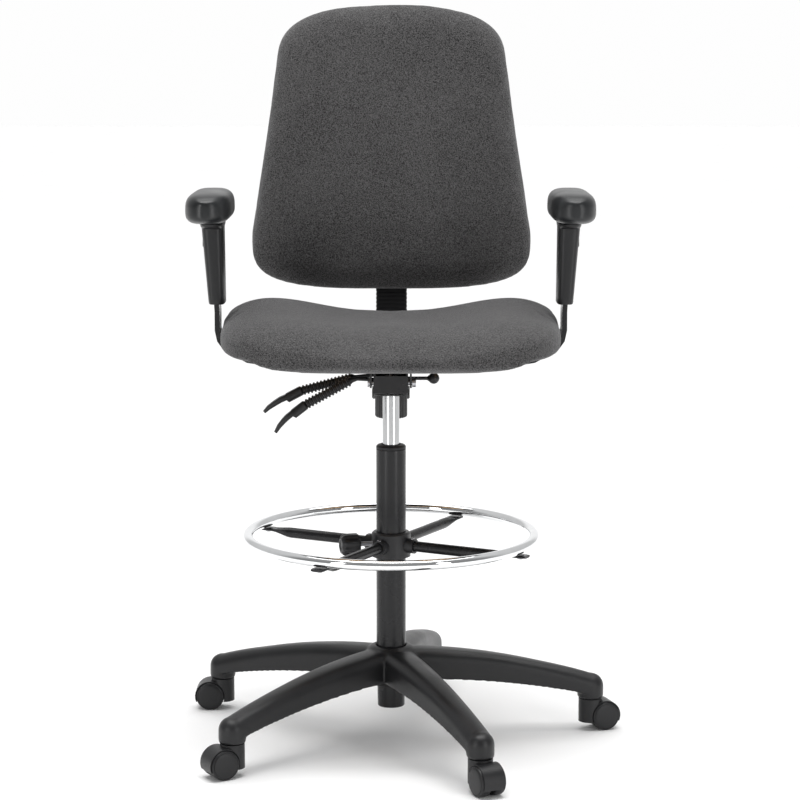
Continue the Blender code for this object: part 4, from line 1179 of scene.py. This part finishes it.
def make_arm(side, way):
    sleeve_low, sleeve_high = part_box(f"arm_{side}_sleeve")
    axis = Vector(JOINTS[f"arm_{side}_height"]["axis"])
    foot_x = sleeve_low.x + SLEEVE_FOOT if way > 0 else sleeve_high.x - SLEEVE_FOOT
    body = f"arm_{side}"

    def centre(height):
        """The leaning sleeve's middle at a height."""
        return foot_x + axis.x / axis.z * (height - sleeve_low.z)

    rings = []
    for height, wide, deep in sleeve_sections(sleeve_low.z, sleeve_high.z):
        ring = []
        for angle in turns(64, 0.5):
            x = centre(height) + wide * power(math.cos(angle), 0.50)
            ring.append((x, deep * power(math.sin(angle), 0.50), height))
        rings.append(ring)
    slot_rings = []
    for height in (sleeve_low.z - 0.012, sleeve_high.z + 0.012):
        slot_rings.append([(centre(height) + 0.0046 * a, 0.0253 * b, height) for a, b in CORNERS])
    button_low, button_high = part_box(f"arm_{side}_button")
    spare = Vector((0.004, 0.0004, 0.0004))
    pocket = box_mesh(button_low - spare, button_high + spare)
    sleeve = combined(loft(rings), cuts=[loft(slot_rings), pocket])
    piece(f"{body}_grip_sleeve", sleeve, NYLON, body, [f"{body}_sleeve"])
    dress(f"{body}_button", DARK_NYLON, 0.0012)
    dress(f"{body}_upright", POWDER, 0.0010)

    pad = piece(f"{body}_rest", pad_mesh(f"{body}_pad"), FOAM, body, [f"{body}_pad"])
    finer = pad.modifiers.new("finer", "SUBSURF")
    finer.levels = finer.render_levels = 1
    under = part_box(f"{body}_upright")[0].z
    for number, y in enumerate((-0.014, 0.014), 1):
        make_screw(f"{body}_screw_{number}", "seat", 0.0058, 0.0028, (way * 0.150, y, under), DOWN)


def sleeve_sections(low, high):
    """(height, half width, half depth) up the sleeve: a straight taper, then the flange under the pad."""
    sections = [(low, 0.0122, 0.0327), (low + 0.0006, 0.0130, 0.0335), (low + 0.0016, 0.0135, 0.0340)]
    span = high - low - 0.0095
    for i in range(1, 11):
        share = i / 10
        sections.append((low + span * share, 0.0135 + 0.0045 * share, 0.0340 + 0.0050 * share))
    sections += [(high - 0.0070, 0.0182, 0.0460), (high - 0.0050, 0.0185, 0.0590)]
    sections += [(high - 0.0035, 0.0187, 0.0625), (high - 0.0008, 0.0190, 0.0640)]
    return sections + [(high, 0.0188, 0.0632)]


def pad_mesh(node):
    """The arm pad: a long rounded bar, fuller at the front, with a crowned top and a flatter foot."""
    low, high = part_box(node)
    centre_x, half_width = (low.x + high.x) / 2, (high.x - low.x) / 2
    thickness, half_length = high.z - low.z, (high.y - low.y) / 2 / 0.99
    waist = low.z + PAD_FOOT_SHARE * thickness
    rings = []
    count = 36
    for i in range(count + 1):
        t = math.sin(math.pi * (i / count - 0.5)) * 0.9975
        y = half_length * 0.99 * t
        size = (1 - abs(t) ** 5.0) ** (1 / 2.2)
        ring = []
        for angle in turns(48):
            x = centre_x + half_width * size * power(math.cos(angle), 0.62)
            lift = power(math.sin(angle), 0.66)
            reach = (PAD_CROWN_SHARE if lift > 0 else PAD_FOOT_SHARE) * thickness
            ring.append((x, y, waist + lift * reach * (0.35 + 0.65 * size)))
        rings.append(ring)
    return loft(rings, node, 60.0)


# Studio


CAMERA_PLACE = (0.0151, -3.9664, 1.1732)
CAMERA_DOWN_DEG = 8.514
CAMERA_LENS_MM = 107.58
CHAIR_MIDDLE = (0, 0, 0.7)
SIDE_BOX_SIZE, SIDE_BOX_WATTS = (0.5, 2.2), 24.0
HIGH_BOX_SIZE, HIGH_BOX_WATTS = (2.6, 0.6), 42.0
# The sky's strength: an even part, and more towards (axis, from, to, added)
SKY_STRENGTH = 0.24
SKY_BANDS = (("Y", -0.30, 0.20, 0.35), ("Y", 0.80, 0.96, 0.40), ("Z", 0.10, 0.95, 0.10))


def make_camera():
    data = bpy.data.cameras.new("camera")
    camera = linked("camera", data)
    data.sensor_width = 36.0
    data.lens = CAMERA_LENS_MM
    data.clip_end = 100.0
    camera.location = CAMERA_PLACE
    camera.rotation_euler = (math.radians(90.0 - CAMERA_DOWN_DEG), 0.0, 0.0)
    bpy.context.scene.camera = camera


def make_floor():
    floor = linked("floor", box_mesh((-30, -30, -0.1), (30, 30, 0.0), "floor"))
    floor.data.materials.append(plain_floor("white_floor"))


def make_light(name, place, target, size, watts):
    data = bpy.data.lights.new(name, "AREA")
    data.shape = "RECTANGLE"
    data.size, data.size_y = size
    data.energy = watts
    light = linked(name, data)
    light.location = place
    light.rotation_euler = (Vector(target) - Vector(place)).to_track_quat("-Z", "Y").to_euler()


def make_world():
    """A white sky, brighter behind the chair and overhead, so that the camera sees white paper."""
    world = bpy.data.worlds.new("studio")
    bpy.context.scene.world = world
    world.use_nodes = True
    tree = world.node_tree
    place = tree.nodes.new("ShaderNodeTexCoord")
    split = tree.nodes.new("ShaderNodeSeparateXYZ")
    tree.links.new(place.outputs["Generated"], split.inputs[0])

    def band(axis, start, end, strength):
        ramp = tree.nodes.new("ShaderNodeMapRange")
        ramp.interpolation_type = "SMOOTHSTEP"
        tree.links.new(split.outputs[axis], ramp.inputs["Value"])
        for name, number in zip(("From Min", "From Max", "To Min", "To Max"), (start, end, 0.0, strength)):
            ramp.inputs[name].default_value = number
        return ramp.outputs["Result"]

    strength = tree.nodes.new("ShaderNodeValue").outputs["Value"]
    strength.default_value = SKY_STRENGTH
    for part in SKY_BANDS:
        total = tree.nodes.new("ShaderNodeMath")
        tree.links.new(strength, total.inputs[0])
        tree.links.new(band(*part), total.inputs[1])
        strength = total.outputs["Value"]
    background = tree.nodes["Background"]
    tree.links.new(strength, background.inputs["Strength"])
    background.inputs["Color"].default_value = (1.0, 1.0, 1.0, 1.0)


def make_sun(strength, spread_deg, tilt_deg):
    """A very wide overhead lamp: it keeps the floor white right out to the horizon."""
    data = bpy.data.lights.new("overhead", "SUN")
    data.energy = strength
    data.angle = math.radians(spread_deg)
    linked("overhead", data).rotation_euler = (math.radians(tilt_deg), 0.0, 0.0)


make_camera()
make_floor()
make_world()
make_light("left_box", (-2.1, -2.5, 1.0), CHAIR_MIDDLE, SIDE_BOX_SIZE, SIDE_BOX_WATTS)
make_light("right_box", (2.1, -2.5, 1.0), CHAIR_MIDDLE, SIDE_BOX_SIZE, SIDE_BOX_WATTS)
make_light("high_box", (0.0, -0.5, 3.3), (0, 0, 0.8), HIGH_BOX_SIZE, HIGH_BOX_WATTS)
make_sun(strength=1.9, spread_deg=60.0, tilt_deg=-8.0)
bpy.context.scene.view_settings.view_transform = "Standard"

for node in ("thrust_bearing", "piston_rod", "retaining_clip", "release_pin"):
    dress(node, GROUND, 0.0002)
for number in CASTERS:
    dress(f"caster_{number}_axle", GROUND, 0.0002)
dress("rubber_bumper", RUBBER, 0.0005)
make_base()
make_casters()
make_column()
make_cylinder()
make_foot_ring()
make_mechanism()
make_levers()
make_lock_knob()
make_back_support()
make_back_shell()
make_back_cushion()
make_seat()
for name, way in SIDES:
    make_arm(name, way)
